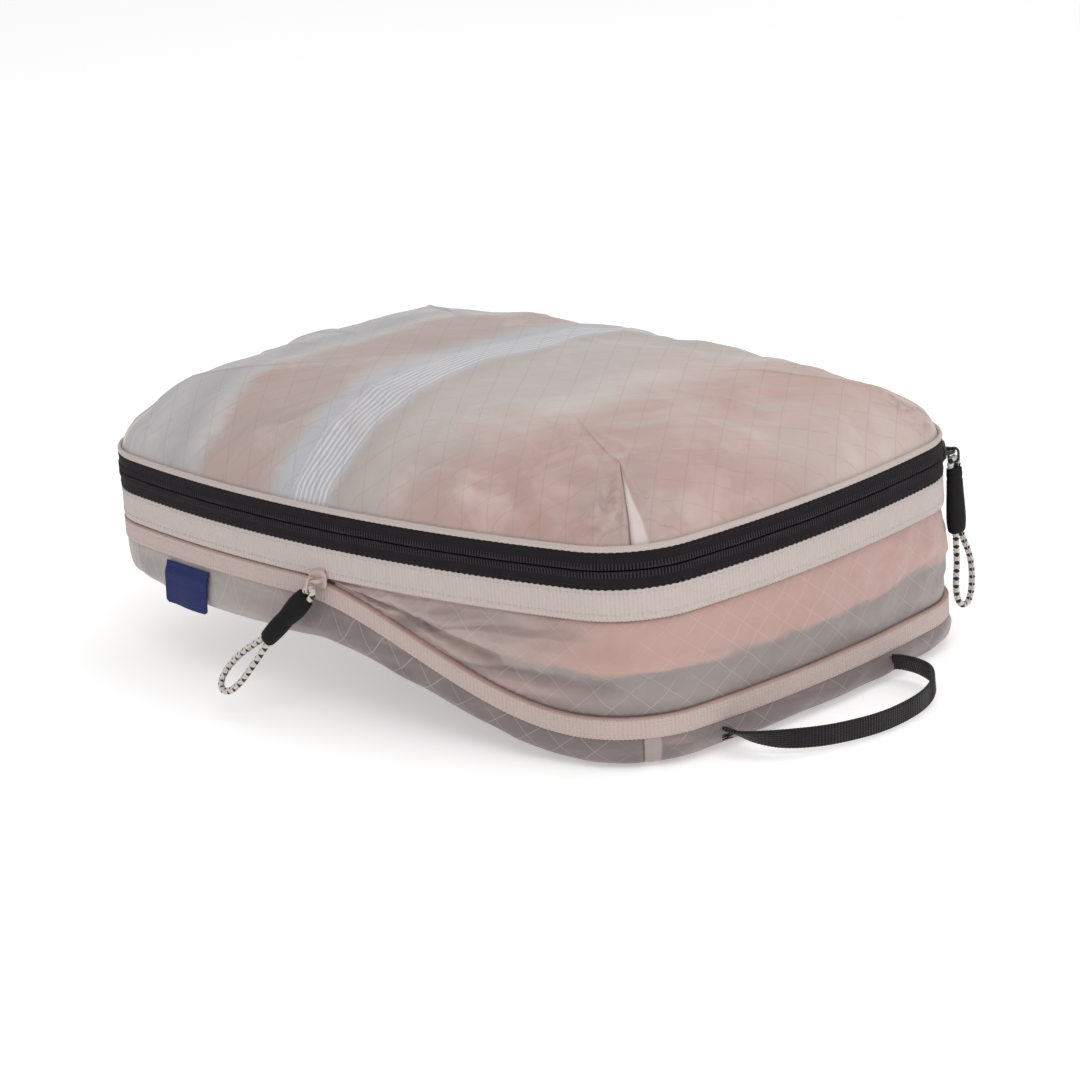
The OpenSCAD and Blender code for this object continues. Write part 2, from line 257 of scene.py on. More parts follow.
def make(name, vertices, faces, material, uv=None, seam=None, smooth=True):
    mesh = bpy.data.meshes.new(name)
    mesh.from_pydata(((np.asarray(vertices, float) + CENTRE) * MM).tolist(), [], faces)
    mesh.update()
    if uv is not None:
        add_uv(mesh, "UVMap", uv)
    if seam is not None:
        add_uv(mesh, "Seam", seam)
    bm = bmesh.new()
    bm.from_mesh(mesh)
    bmesh.ops.recalc_face_normals(bm, faces=bm.faces)
    bm.to_mesh(mesh)
    bm.free()
    if smooth:
        mesh.polygons.foreach_set("use_smooth", [True] * len(mesh.polygons))
    ob = link(name, mesh)
    mesh.materials.append(material)
    return ob


def grid_faces(rows, cols, close_rows=False, close_cols=False):
    i, j = np.meshgrid(np.arange(rows if close_rows else rows - 1),
                       np.arange(cols if close_cols else cols - 1), indexing="ij")
    i2, j2 = (i + 1) % rows, (j + 1) % cols
    return columns(i * cols + j, i2 * cols + j, i2 * cols + j2, i * cols + j2).tolist()


def section_faces(rows, cols, closed=False):
    """Faces of a closed section carried along a path, with end caps on an open path."""
    faces = grid_faces(rows, cols, closed, True)
    if not closed:
        faces.append(list(range(cols)))
        faces.append([(rows - 1) * cols + i for i in reversed(range(cols))])
    return faces


def dome_faces(rows, cols):
    """Rings whose last column is joined to one apex vertex."""
    fan = [[((i + 1) % rows) * cols + cols - 1, rows * cols, i * cols + cols - 1]
           for i in range(rows)]
    return grid_faces(rows, cols, close_rows=True) + fan


def run_length(points):
    """Distance along a line of points, from its first."""
    steps = np.linalg.norm(np.diff(points, axis=0), axis=1)
    return np.concatenate([[0], np.cumsum(steps)])


def curve_through(points, steps, closed=False):
    """Catmull-Rom curve with the given steps between neighbouring points."""
    points = np.asarray(points, float)
    count = len(points)

    def at(i):
        return points[i % count] if closed else points[min(max(i, 0), count - 1)]

    curve = []
    for i in range(count if closed else count - 1):
        a, b, c, d = at(i - 1), at(i), at(i + 1), at(i + 2)
        for t in np.arange(steps) / steps:
            curve.append(0.5 * (2 * b + (c - a) * t + (2 * a - 5 * b + 4 * c - d) * t * t
                                + (3 * b - a - 3 * c + d) * t ** 3))
    if not closed:
        curve.append(points[-1])
    return np.array(curve)


def resample(points, step, closed=False):
    """Points about one step apart, and their distances along the line."""
    points = np.asarray(points, float)
    if closed:
        points = np.vstack([points, points[:1]])
    length = run_length(points)
    at = np.linspace(0, length[-1], max(4, int(round(length[-1] / step))) + 1)
    line = np.stack([np.interp(at, length, column) for column in points.T], -1)
    return (line[:-1], at[:-1]) if closed else (line, at)


def sweep(name, s, profile, material, closed=False, raised=False, shift=None):
    """Carries an (outward, z) profile along the outline; shift(s, out, z) may move it."""
    profile = np.asarray(profile, float)
    grid_s, out = np.meshgrid(s, profile[:, 0], indexing="ij")
    z = np.tile(profile[:, 1], (len(s), 1))
    if shift:
        out, z = shift(grid_s, out, z)
    x, y, _, _ = path(grid_s, out)
    if raised:
        z = z + lift(x)
    return make(name, columns(x, y, z), section_faces(*grid_s.shape, closed), material,
                columns(grid_s, run_length(profile)))


def band(inner, outer, low, high, soft, steps):
    """Flat band section with soft edges; the outer face comes first, listed upward."""
    section = [(outer - soft * 0.6, low)]
    section += [(outer, z) for z in np.linspace(low + soft, high - soft, steps)]
    section += [(outer - soft * 0.6, high), (inner + soft * 0.6, high)]
    return section + [(inner, high - soft), (inner, low + soft), (inner + soft * 0.6, low)]


def tube(name, points, radius, material, segments, step, side, closed=False, shape=None):
    """Round section along a path; shape(distance, angle) scales the radius."""
    points, length = resample(points, step, closed)
    if closed:
        tangent = np.roll(points, -1, 0) - np.roll(points, 1, 0)
    else:
        tangent = np.gradient(points, axis=0)
    tangent /= np.linalg.norm(tangent, axis=1)[:, None]
    first = np.cross(tangent, np.array(side, float))
    first /= np.linalg.norm(first, axis=1)[:, None]
    second = np.cross(tangent, first)
    angle = np.arange(segments) * 2 * math.pi / segments
    radii = np.full((len(points), segments), float(radius))
    if shape:
        radii = radii * shape(length[:, None], angle[None])
    ring = (np.cos(angle)[None, :, None] * first[:, None]
            + np.sin(angle)[None, :, None] * second[:, None])
    vertices = (points[:, None] + radii[..., None] * ring).reshape(-1, 3)
    return make(name, vertices, section_faces(len(points), segments, closed), material,
                columns(length[:, None], angle * radius))


def join(name, parts):
    """Joins meshes that share one material into one piece."""
    bm = bmesh.new()
    for part in parts:
        bm.from_mesh(part.data)
    mesh = bpy.data.meshes.new(name)
    bm.to_mesh(mesh)
    bm.free()
    mesh.materials.append(parts[0].data.materials[0])
    for part in parts:
        bpy.data.objects.remove(part)
    return link(name, mesh)


def thicken(ob, thickness):
    """Gives cloth its thickness, towards the inside."""
    modifier = ob.modifiers.new("th", "SOLIDIFY")
    modifier.thickness = thickness * MM
    modifier.offset = -1
    modifier.use_even_offset = False
    depsgraph = bpy.context.evaluated_depsgraph_get()
    mesh = bpy.data.meshes.new_from_object(ob.evaluated_get(depsgraph))
    ob.modifiers.clear()
    ob.data = mesh


def stitches(name, start, end, out, z, material, pitch=3.0, length=2.1, raised=False):
    """A row of separate sewn stitches lying on a band."""
    width, proud, sunk = 0.32, 0.22, -0.1
    section_out = np.array([sunk, proud * 0.6, proud, proud * 0.6, sunk])
    section_z = np.array([-0.5, -0.55, 0, 0.55, 0.5]) * width
    along = np.array([-0.5, -0.25, 0.25, 0.5])[:, None] * length
    scale = np.array([0.35, 1, 1, 0.35])[:, None]
    middles = (np.arange(start, end, pitch) + pitch / 2)[:, None, None]
    s, out, z = columns(middles + along, out + section_out * scale, z + section_z * scale).T
    one = section_faces(4, 5)
    faces = [[base + corner for corner in face]
             for base in range(0, 20 * len(middles), 20) for face in one]
    x, y, _, _ = path(s, out)
    top = z + lift(x) if raised else z
    return make(name, columns(x, y, top), faces, material, columns(s, z))


# ---------------------------------------------------------------- shader helpers
def linear(rgb):
    """Linear colour of a 0-255 sRGB triple."""
    parts = [part / 255 for part in rgb]
    return tuple(p / 12.92 if p <= 0.04045 else ((p + 0.055) / 1.055) ** 2.4
                 for p in parts) + (1.0,)


def shade(rgb, factor):
    return tuple(min(1, part * factor) for part in linear(rgb)[:3]) + (1,)


def as_color(color):
    """Turns an sRGB triple into a linear colour and leaves anything else as it is."""
    return linear(color) if isinstance(color, tuple) and len(color) == 3 else color


def operator(kind, swapped=False):
    def build(self, other):
        pair = (other, self) if swapped else (self, other)
        return self.shader.math(kind, *pair)
    return build


class Signal:
    """A shader node output; arithmetic on it adds Math nodes."""

    __add__, __radd__ = operator("ADD"), operator("ADD", swapped=True)
    __sub__, __rsub__ = operator("SUBTRACT"), operator("SUBTRACT", swapped=True)
    __mul__, __rmul__ = operator("MULTIPLY"), operator("MULTIPLY", swapped=True)
    __truediv__ = operator("DIVIDE")

    def __init__(self, shader, socket):
        self.shader, self.socket = shader, socket

    def __abs__(self):
        return self.math("ABSOLUTE")

    def math(self, kind, other=0.0):
        return self.shader.math(kind, self, other)

    def rise(self, start, end):
        """0 below start, 1 above end, smooth between."""
        return self.shader.node("ShaderNodeMapRange", {0: self, 1: start, 2: end},
                                interpolation_type="SMOOTHSTEP")

    def fall(self, start, end):
        """1 below start, 0 above end, smooth between."""
        return 1.0 - self.rise(start, end)

    def wave(self, period):
        return (self * (2 * math.pi / period)).math("SINE")

    def line(self, period, width):
        """1 on thin lines every period, 0 between."""
        offset = abs((self / period).math("FRACT") - 0.5)
        return offset.fall(width / period * 0.5, width / period)

    def noise(self, scale, detail=3.0, roughness=0.5, distortion=0.0):
        return self.shader.node("ShaderNodeTexNoise", {
            "Vector": self, "Scale": scale, "Detail": detail,
            "Roughness": roughness, "Distortion": distortion})

    def blend(self, first, second):
        """Goes from the first colour to the second as this signal goes from 0 to 1."""
        return self.shader.node("ShaderNodeMix", {0: self, 6: as_color(first),
                                                  7: as_color(second)},
                                output=2, data_type="RGBA")

    def coat(self, mask, amount, color):
        """Lays a colour over this one where the mask is 1."""
        return (mask * amount).blend(self, color)

    def ramp(self, stops, interpolation="EASE"):
        """Colour ramp with stops (position, sRGB)."""
        result = self.shader.node("ShaderNodeValToRGB", {0: self})
        ramp = result.socket.node.color_ramp
        ramp.interpolation = interpolation
        while len(ramp.elements) < len(stops):
            ramp.elements.new(0.5)
        for element, (position, rgb) in zip(ramp.elements, stops):
            element.position = position
            element.color = linear(rgb)
        return result


class Shader:
    """One material built on the Principled shader."""

    def __init__(self, name, roughness, specular, sheen=0.0):
        self.material = bpy.data.materials.new(name)
        self.material.use_nodes = True
        self.tree = self.material.node_tree
        principled = next(n for n in self.tree.nodes if n.type == "BSDF_PRINCIPLED")
        self.inputs = principled.inputs
        self.inputs["Roughness"].default_value = roughness
        self.inputs["Specular IOR Level"].default_value = specular
        if sheen:
            self.inputs["Sheen Weight"].default_value = sheen
            self.inputs["Sheen Roughness"].default_value = 0.5

    def put(self, socket, value):
        if isinstance(value, Signal):
            self.tree.links.new(value.socket, socket)
        else:
            socket.default_value = value

    def node(self, kind, inputs, output=0, **settings):
        node = self.tree.nodes.new(kind)
        for key, value in settings.items():
            setattr(node, key, value)
        for key, value in inputs.items():
            self.put(node.inputs[key], value)
        return Signal(self, node.outputs[output])

    def math(self, kind, first, second):
        return self.node("ShaderNodeMath", {0: first, 1: second, 2: 0.0}, operation=kind)

    def vector(self, x, y, z):
        return self.node("ShaderNodeCombineXYZ", {0: x, 1: y, 2: z})

    def split(self, vector):
        parts = self.node("ShaderNodeSeparateXYZ", {0: vector}).socket.node.outputs
        return [Signal(self, part) for part in parts]

    def uv_mm(self, layer="UVMap"):
        """Both coordinates of a UV map in mm, and the map itself."""
        uv = self.node("ShaderNodeUVMap", {}, uv_map=layer)
        u, v, _ = self.split(uv)
        return u * 100.0, v * 100.0, uv

    @cached_property
    def place(self):
        """Object coordinates in metres."""
        return self.node("ShaderNodeTexCoord", {}, output="Object")

    @cached_property
    def place_parts(self):
        return self.split(self.place)

    def axis(self, letter):
        """One object coordinate, in mm from the outline's centre."""
        index = "xyz".index(letter)
        return self.place_parts[index] * 1000.0 - float(CENTRE[index])

    def surface(self, color, height, strength, depth, roughness=None):
        """Connects the colour, a bump of the given depth in mm, and the roughness."""
        self.put(self.inputs["Base Color"], color)
        if roughness is not None:
            self.put(self.inputs["Roughness"], roughness)
        bump = self.node("ShaderNodeBump", {"Strength": strength, "Distance": depth * MM,
                                            "Height": height})
        self.put(self.inputs["Normal"], bump)
        return self.material


# ---------------------------------------------------------------- materials
def tape_material(name, rgb, rib=1.9, roughness=0.75, contrast=0.16, sheen=0.15):
    """Woven tape with ribs across it, rib mm apart."""
    shader = Shader(name, roughness, specular=0.25, sheen=sheen)
    u, v, uv = shader.uv_mm()
    blotch = uv.noise(scale=9.0, detail=4.0)
    ribs, weave = u.wave(rib), v.wave(period=0.9)
    tone = ribs * (contrast * 0.5) + (blotch - 0.5) * 0.35
    tone = tone + weave * (contrast * 0.12)
    color = (tone + 0.5).blend(shade(rgb, 1 - contrast), shade(rgb, 1 + contrast))
    return shader.surface(color, height=ribs + weave * 0.5, strength=0.5, depth=0.18,
                          roughness=blotch * 0.2 + (roughness - 0.1))


def plain_material(name, rgb, roughness, specular, scale=400.0, depth=0.15, variation=0.12,
                   sheen=0.0):
    """One colour with a fine grain and slow changes of tone."""
    shader = Shader(name, roughness, specular, sheen)
    grain = shader.place.noise(scale)
    tone = shader.place.noise(scale * 0.12, detail=2.0)
    color = tone.blend(shade(rgb, 1 - variation), shade(rgb, 1 + variation))
    return shader.surface(color, height=grain, strength=0.35, depth=depth,
                          roughness=grain * 0.2 + (roughness - 0.1))


def ripstop_threads(along, across, slope, pitch, width):
    """Two crossing sets of thin lines."""
    rising = (along + across * slope).line(pitch, width)
    falling = (along - across * slope).line(pitch, width)
    return rising.math("MAXIMUM", falling)


def ripstop_surface(shader, color, threads, folds, gloss, fold_height, strength):
    """gloss is how much the folds change the roughness."""
    grain = shader.place.noise(scale=1100.0, detail=2.0)
    height = folds * fold_height + (grain * 0.25 + threads * 0.3)
    return shader.surface(color, height, strength, depth=0.5, roughness=folds * gloss + 0.38)


# colour bands across the lid: (x in mm, sRGB)
LID_GREY, LID_PALE, LID_ROSE = (172, 168, 170), (188, 184, 185), (180, 158, 152)
LID_WHITE, LID_BEIGE = (182, 181, 186), (187, 177, 172)
LID_WARM, LID_CREAM = (190, 160, 151), (204, 190, 184)
LID_BANDS = [
    (-200, LID_GREY), (-140, LID_PALE), (-118, LID_GREY), (-104, LID_PALE),
    (-94, LID_ROSE), (-58, LID_ROSE), (-50, (182, 170, 164)), (-44, LID_WHITE),
    (-12, LID_WHITE), (-4, (178, 168, 160)), (8, LID_BEIGE), (48, LID_BEIGE),
    (70, LID_CREAM), (96, LID_WARM), (120, LID_WARM), (200, LID_CREAM),
]


def lid_load_color(shader, x, y):
    """Bands and patches of colour where the cloth lies on the load."""
    place = shader.place
    across = x + (place.noise(scale=6.0, detail=0.0) - 0.5) * 34.0
    across = across + (place.noise(scale=16.0, detail=0.0) - 0.5) * 3.5
    across = across - y * y * 0.0011
    across = across + y * -0.06
    stops = [((mm + 200.0) / 400.0, rgb) for mm, rgb in LID_BANDS]
    color = ((across + 200.0) / 400.0).ramp(stops, interpolation="LINEAR")
    # fine stripes of a folded shirt under the cloth
    stripes = (across + 1.0).line(period=3.3, width=0.9)
    shirt = across.rise(-38.0, -33.0) * across.fall(-13.0, -8.0)
    color = color.coat(stripes * shirt, amount=0.8, color=(218, 217, 220))
    # soft patches towards +X
    patches = shader.vector(x * 0.001, y * 0.0016, 0.3).noise(
        scale=15.0, roughness=0.55, distortion=0.6).rise(0.42, 0.62)
    color = color.coat(patches * x.rise(18.0, 60.0), amount=0.7, color=(198, 174, 167))
    # rosier towards the +X -Y corner
    corner = (x * 0.75 - y).rise(95.0, 165.0) * x.rise(15.0, 70.0)
    rosy = place.noise(scale=24.0, roughness=0.6, distortion=1.2).rise(0.46, 0.70)
    color = color.coat(corner, amount=0.8,
                       color=rosy.blend((178, 144, 137), (192, 162, 154)))
    # pale and dark patches all over
    pale = place.noise(scale=22.0, roughness=0.6, distortion=1.0).rise(0.5, 0.7)
    color = color.coat(pale, amount=0.28, color=(214, 207, 202))
    dark = shader.vector(x * 0.001, y * 0.001, 1.7).noise(
        scale=13.0, detail=4.0, roughness=0.6, distortion=0.8).rise(0.5, 0.72)
    return color.coat(dark, amount=0.3, color=(160, 150, 146))


def lid_dart_color(shader, color):
    """Corner darts: stitching line, doubled cloth on one side and painted shade in the puckers
    on the other.
    """
    offset, depth, _ = shader.uv_mm("Seam")
    fold_width = (1.0 - depth / 40.0).math("MAXIMUM", 0.0) * 9.0
    wander = (shader.place.noise(scale=60.0, detail=2.0) - 0.5) * 3.0
    doubled = offset.rise(0.0, 0.4) * (offset - fold_width + wander).fall(-1.6, 0.4)
    doubled = doubled * depth.fall(28.0, 38.0)
    color = color.coat(doubled, amount=0.75, color=(217, 206, 200))
    # painted shade: darker colour in the puckers beside each dart
    behind = offset * -1.0
    pucker_shade = behind.rise(0.2, 3.0) * behind.fall(14.0, 34.0)
    pucker_shade = pucker_shade * (depth.rise(2.0, 7.0) * depth.fall(14.0, 34.0))
    pucker_shade = pucker_shade * shader.vector(offset * 0.001, depth * 0.0022, 0.0).noise(
        scale=90.0, roughness=0.6, distortion=0.8).rise(0.42, 0.66)
    color = color.coat(pucker_shade, amount=0.5, color=(140, 120, 114))
    stitching = abs(offset).fall(0.2, 0.7) * depth.fall(33.0, 37.0)
    return color.coat(stitching, amount=0.8, color=(104, 90, 86))


def lid_material():
    shader = Shader("ripstop_blush", roughness=0.5, specular=0.35, sheen=0.25)
    x, y, z = (shader.axis(letter) for letter in "xyz")
    color = lid_load_color(shader, x, y)
    threads = ripstop_threads(x, y, slope=0.72, pitch=15.0, width=0.42)
    color = color.coat(threads, amount=0.17, color=(118, 108, 106))
    # paler hem above the binding
    color = color.coat(z.fall(Z_LID + 1.0, Z_LID + 8.0), amount=0.4, color=(200, 187, 181))
    color = lid_dart_color(shader, color)
    folds = shader.place.noise(scale=34.0, detail=4.0, roughness=0.6, distortion=0.4)
    return ripstop_surface(shader, color, threads, folds, gloss=0.2, fold_height=4.0,
                           strength=0.35)


def gusset_color(shader, z, fine, broad):
    """Grey at the foot and rose above, with darker, mottled colour on most of the -Y side:
    painted shade under the overhang.
    """
    height = z + (fine - 0.5) * 17.0
    rose, grey = (187, 154, 146), (152, 141, 138)
    color = (height / 80.0).ramp([
        (0.28, (140, 129, 127)), (0.40, grey), (0.52, (146, 136, 134)),
        (0.57, rose), (0.74, rose), (1.0, (182, 152, 144))])
    # painted shade: darker, mottled colour on the -Y side, where the cloth above overhangs the
    # gusset
    front_shade = (shader.axis("x") + broad * 40.0).fall(120.0, 180.0)
    front_shade = front_shade * (shader.axis("y") * -1.0).rise(0.0, 20.0)
    front_shade_color = (broad + (height - 44.0) / 160.0).ramp([
        (0.30, (174, 150, 146)), (0.42, (152, 132, 130)),
        (0.50, (138, 125, 123)), (0.60, (176, 158, 153))])
    return color.coat(front_shade, amount=0.9, color=front_shade_color)


def base_color(shader, z, fine, broad):
    """Dark grey, paler towards -X, with doubled cloth and stitching at the corner seams."""
    color = fine.ramp([(0.30, (112, 101, 101)), (0.45, (128, 115, 114)),
                       (0.55, (120, 108, 108)), (0.7, (144, 127, 124))])
    color = color.coat(shader.axis("x").fall(-60.0, 10.0), amount=0.75,
                       color=broad.ramp([(0.35, (158, 148, 144)), (0.6, (176, 167, 163))]))
    offset, depth, _ = shader.uv_mm("Seam")
    doubled = offset.rise(0.0, 0.3) * offset.fall(7.0, 8.2)
    doubled = doubled * depth.fall(30.0, 34.0)
    color = color.coat(doubled, amount=0.6, color=(184, 168, 162))
    stitching = abs(offset).fall(0.2, 0.7) * depth.fall(30.0, 34.0)
    return color.coat(stitching, amount=0.8, color=(84, 74, 74))


def wall_material(name, paint):
    """Ripstop that runs round the outline; paint gives its colour under the threads."""
    shader = Shader(name, roughness=0.52, specular=0.32, sheen=0.25)
    z = shader.axis("z")
    u, v, _ = shader.uv_mm()
    fine = shader.vector(u * 0.001, z * 0.0035, 0.0).noise(
        scale=16.0, roughness=0.55, distortion=0.5)
    broad = shader.vector(u * 0.001, z * 0.006, 0.4).noise(scale=9.0, distortion=0.8)
    color = paint(shader, z, fine, broad)
    threads = ripstop_threads(u, v, slope=1.25, pitch=17.0, width=0.3)
    # painted highlight: the ripstop grid is the cloth's own, and its pale colour in patches
    # stands in for threads catching the light
    thread_glint = shader.place.noise(scale=30.0, detail=2.0).rise(0.3, 0.55)
    color = color.coat(threads * thread_glint, amount=0.42, color=(206, 192, 185))
    folds = shader.vector(u * 0.001, z * 0.0022, 0.0).noise(
        scale=30.0, detail=4.0, roughness=0.6, distortion=0.6)
    return ripstop_surface(shader, color, threads, folds, gloss=0.25, fold_height=4.5,
                           strength=0.4)


def zip_material():
    """Black tape; beside the middle line of the main zip its tooth ribs get painted highlight on
    their crests and painted shade between them.
    """
    shader = Shader("black_tape", roughness=0.85, specular=0.2)
    z = shader.axis("z")
    u, v, uv = shader.uv_mm()
    near = abs(z - Z_MAIN).fall(3.0, 3.7)
    lit_tooth_ribs = u.wave(period=1.5).rise(-0.2, 0.6) * near
    twill = (u + v * 1.0).wave(period=1.1)
    color = (twill * 0.3 + uv.noise(scale=12.0)).blend((17, 13, 17), (33, 28, 32))
    # painted highlight on the crests of the tooth ribs, then painted shade between them near the
    # middle line
    color = lit_tooth_ribs.blend(color, (58, 51, 56))
    color = (near * (0.75 - lit_tooth_ribs * 0.75)).blend(color, (12, 9, 12))
    return shader.surface(color, height=twill + lit_tooth_ribs * 2.0, strength=0.5, depth=0.2,
                          roughness=twill * 0.05 + 0.8)


def cord_material():
    """Pale braid with dark flecks where two spirals cross."""
    shader = Shader("fleck_cord", roughness=0.8, specular=0.2, sheen=0.3)
    u, v, _ = shader.uv_mm()
    along, round_about = 3.7, 9.11      # spiral pitch along the cord; cord circumference
    one = (u / along + v / round_about).math("FRACT")
    other = (u / along - v / round_about).math("FRACT")
    flecks = one.math("LESS_THAN", 0.55) * other.math("LESS_THAN", 0.55)
    strands = (u + v * 1.4).wave(period=0.9)
    pale = (strands * 0.5 + 0.5).blend((206, 196, 188), (232, 226, 220))
    return shader.surface(flecks.blend(pale, (32, 29, 30)), height=strands, strength=0.6,
                          depth=0.25)


def webbing_material():
    shader = Shader("black_webbing", roughness=0.78, specular=0.25, sheen=0.12)
    u, v, uv = shader.uv_mm()
    ribs = u.wave(period=1.5)
    blotch = uv.noise(scale=14.0)
    color = (ribs * 0.25 + blotch).blend((10, 8, 10), (36, 32, 36))
    return shader.surface(color, height=ribs + v.wave(period=1.1) * 0.5, strength=0.7,
                          depth=0.3, roughness=blotch * 0.2 + 0.65)


def shirt_material(name, rgb, stripe):
    shader = Shader(name, roughness=0.85, specular=0.15, sheen=0.3)
    blotch = shader.place.noise(scale=60.0, detail=4.0)
    color = blotch.blend(shade(rgb, 0.8), shade(rgb, 1.12))
    if stripe:
        lines = shader.axis("x").line(period=4.0, width=1.0)
        color = color.coat(lines, amount=0.7, color=stripe)
    grain = shader.place.noise(scale=900.0, detail=2.0)
    return shader.surface(color, height=grain + blotch * 2.0, strength=0.4, depth=0.5)


LID_CLOTH = lid_material()
GUSSET_CLOTH = wall_material("ripstop_rose", gusset_color)
BASE_CLOTH = wall_material("ripstop_grey", base_color)
CREAM_TAPE = tape_material("cream_tape", (198, 185, 180))
CREAM_BINDING = tape_material("cream_binding", (199, 186, 181), rib=1.3, contrast=0.10)
LOWER_TAPE = tape_material("cream_tape_lower", (194, 175, 169))
HEM_FOLD = tape_material("hem_fold", (196, 182, 177), rib=1.1, roughness=0.7, contrast=0.06)
CREAM_COIL = plain_material("cream_coil", (176, 148, 140), roughness=0.5, specular=0.4)
BLACK_TAPE = zip_material()
BLACK_COIL = plain_material("black_coil", (20, 18, 20), roughness=0.42, specular=0.5)
THREAD = dict(roughness=0.8, specular=0.2, scale=900, depth=0.1, variation=0.05)
CREAM_THREAD = plain_material("thread_cream", (204, 193, 187), sheen=0.2, **THREAD)
BLACK_THREAD = plain_material("thread_black", (24, 22, 24), sheen=0.1, **THREAD)
METAL = dict(scale=300, depth=0.06)
BLACK_METAL = plain_material("black_metal", (26, 25, 27), roughness=0.35, specular=0.55,
                             **METAL)
CREAM_METAL = plain_material("cream_metal", (196, 176, 167), roughness=0.42, specular=0.5,
                             **METAL)
BLACK_GRIP = plain_material("black_grip", (17, 15, 17), roughness=0.62, specular=0.18,
                            scale=700, depth=0.14)
CORD = cord_material()
WEBBING = webbing_material()
LABEL = tape_material("navy_label", (18, 33, 92), rib=0.8, roughness=0.6, contrast=0.2,
                      sheen=0.0)


# ---------------------------------------------------------------- how pieces move
def describe(slot, replaced):
    if replaced:
        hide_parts(*replaced)


def ride(ob, body, slot, *replaced):
    """The piece moves with one body."""
    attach(ob, body)
    describe(slot, replaced)


def bend(ob, slot, *replaced):
    """Bakes the piece's placement into its mesh and hides the CAD nodes it replaces; the piece
    is already shaped from the bag down to the base along x.
    """
    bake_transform(ob)
    describe(slot, replaced)


def squash(ob):
    """The piece rides with the bag and gets its own copy of its mesh."""
    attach(ob, "bag")
    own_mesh(ob)


# ---------------------------------------------------------------- cloth
def simulate(ob, pin, frames, pressure, shrink):
    """Runs the cloth solver and returns the flat coordinates it ends with."""
    group = ob.vertex_groups.new(name="pin")
    level = np.round(np.asarray(pin, float), 2)
    for weight in np.unique(level):
        if weight > 0:
            group.add(np.nonzero(level == weight)[0].tolist(), float(weight), "REPLACE")
    cloth = ob.modifiers.new("drape", "CLOTH")
    settings = dict(
        quality=5, mass=0.15,
        tension_stiffness=20.0, compression_stiffness=20.0,
        shear_stiffness=12.0, bending_stiffness=0.4,
        tension_damping=15, compression_damping=15, shear_damping=15, bending_damping=0.5,
        air_damping=2.0,
        vertex_group_mass="pin", pin_stiffness=0.8,
        shrink_min=shrink, shrink_max=shrink,
        use_pressure=True, uniform_pressure_force=pressure)
    for key, value in settings.items():
        setattr(cloth.settings, key, value)
    cloth.settings.effector_weights.gravity = 0.0
    cloth.collision_settings.use_collision = False
    cloth.collision_settings.use_self_collision = False
    cloth.point_cache.frame_start = 1
    cloth.point_cache.frame_end = frames + 2
    scene = bpy.context.scene
    for number in range(1, frames + 1):
        scene.frame_set(number)
        bpy.context.view_layer.update()
    depsgraph = bpy.context.evaluated_depsgraph_get()
    mesh = ob.evaluated_get(depsgraph).to_mesh()
    draped = np.zeros(len(mesh.vertices) * 3, np.float32)
    mesh.vertices.foreach_get("co", draped)
    return draped


def drape(ob, pin, grid, frames, pressure, shrink, keep_broad, limit, mask):
    """Adds simulated wrinkles to ob. pin is a weight per vertex, mask one per grid point.

    keep_broad is the share of the broad sag that stays; limit caps the movement in mm."""
    wrinkle_gain = 0.7
    draped = simulate(ob, pin, frames, pressure, shrink)
    old = np.zeros(len(ob.data.vertices) * 3, np.float32)
    ob.data.vertices.foreach_get("co", old)
    ob.modifiers.clear()
    ob.vertex_groups.clear()
    bpy.context.scene.frame_set(1)
    # a solver run that blew up leaves the cloth as it was modelled
    if len(draped) != len(old) or not np.isfinite(draped).all():
        return
    rows, cols = grid
    move = (draped - old).reshape(-1, 3)
    net = move[:rows * cols].reshape(rows, cols, 3)
    broad = net.copy()
    for _ in range(2):
        broad = sum(np.roll(broad, i, 0) for i in range(-7, 8)) / 15.0
        padded = np.pad(broad, ((0, 0), (3, 3), (0, 0)), "edge")
        broad = sum(padded[:, i:i + cols] for i in range(7)) / 7.0
    net = (net - broad) * wrinkle_gain + broad * keep_broad
    net = net * mask[..., None]
    move[:rows * cols] = net.reshape(-1, 3)
    move[rows * cols:] = net[:, -1].mean(0)
    distance = np.linalg.norm(move, axis=1, keepdims=True)
    move *= np.minimum(1.0, limit * MM / np.maximum(distance, 1e-9))
    ob.data.vertices.foreach_set("co", (old.reshape(-1, 3) + move).ravel())
    ob.data.update()


def seam_map(offset, depth):
    """Arc distance to the corner seam and depth along it; far cloth is moved out of reach."""
    far = np.where(np.abs(offset) > 60, 500, 0)
    return with_apex(columns(offset, depth + far), (90, 600))


# ---------------------------------------------------------------- lid
LID_REACH = 115.0    # inward distance at which the lid is at full height
LID_RIM = 37.0       # up to here the rings follow the outline, then shrink to the middle


def lid_height(inward):
    return (Z_LID_TOP - Z_LID) * (1 - (1 - np.clip(inward / LID_REACH, 0, 1)) ** 4)


def lid_wrinkle(s, inward, x, y, inside):
    height = inside * (1.1 * Waves(11, 70)(x, y) + 0.5 * Waves(12, 34)(x, y))
    offset = corner_offset(s)
    aside = np.abs(offset)
    # dart: a pinched seam that runs in from each corner
    reach = 1 - ease((inward - 28) / 16.0)
    height -= 1.5 * bell(offset, 1.1) * reach * ease((inward + 1) / 3.0)
    height += 0.9 * bell(aside - 7.0, 5.0) * reach * ease(inward / 8.0)
    # puckers fanning out beside the dart
    fan = np.sin(aside * 2 * math.pi / 11.0 + inward / 7.0)
    height += 0.75 * fan * bell(aside, 26.0) * bell(inward - 13, 12.0) * ease(inward / 4.0)
    # short pulls along the hem
    pulls = np.sin(s * 2 * math.pi / 21.0 + 2.2 * np.sin(s / 37.0)) * bell(inward - 9, 7.0)
    return height + 0.35 * pulls


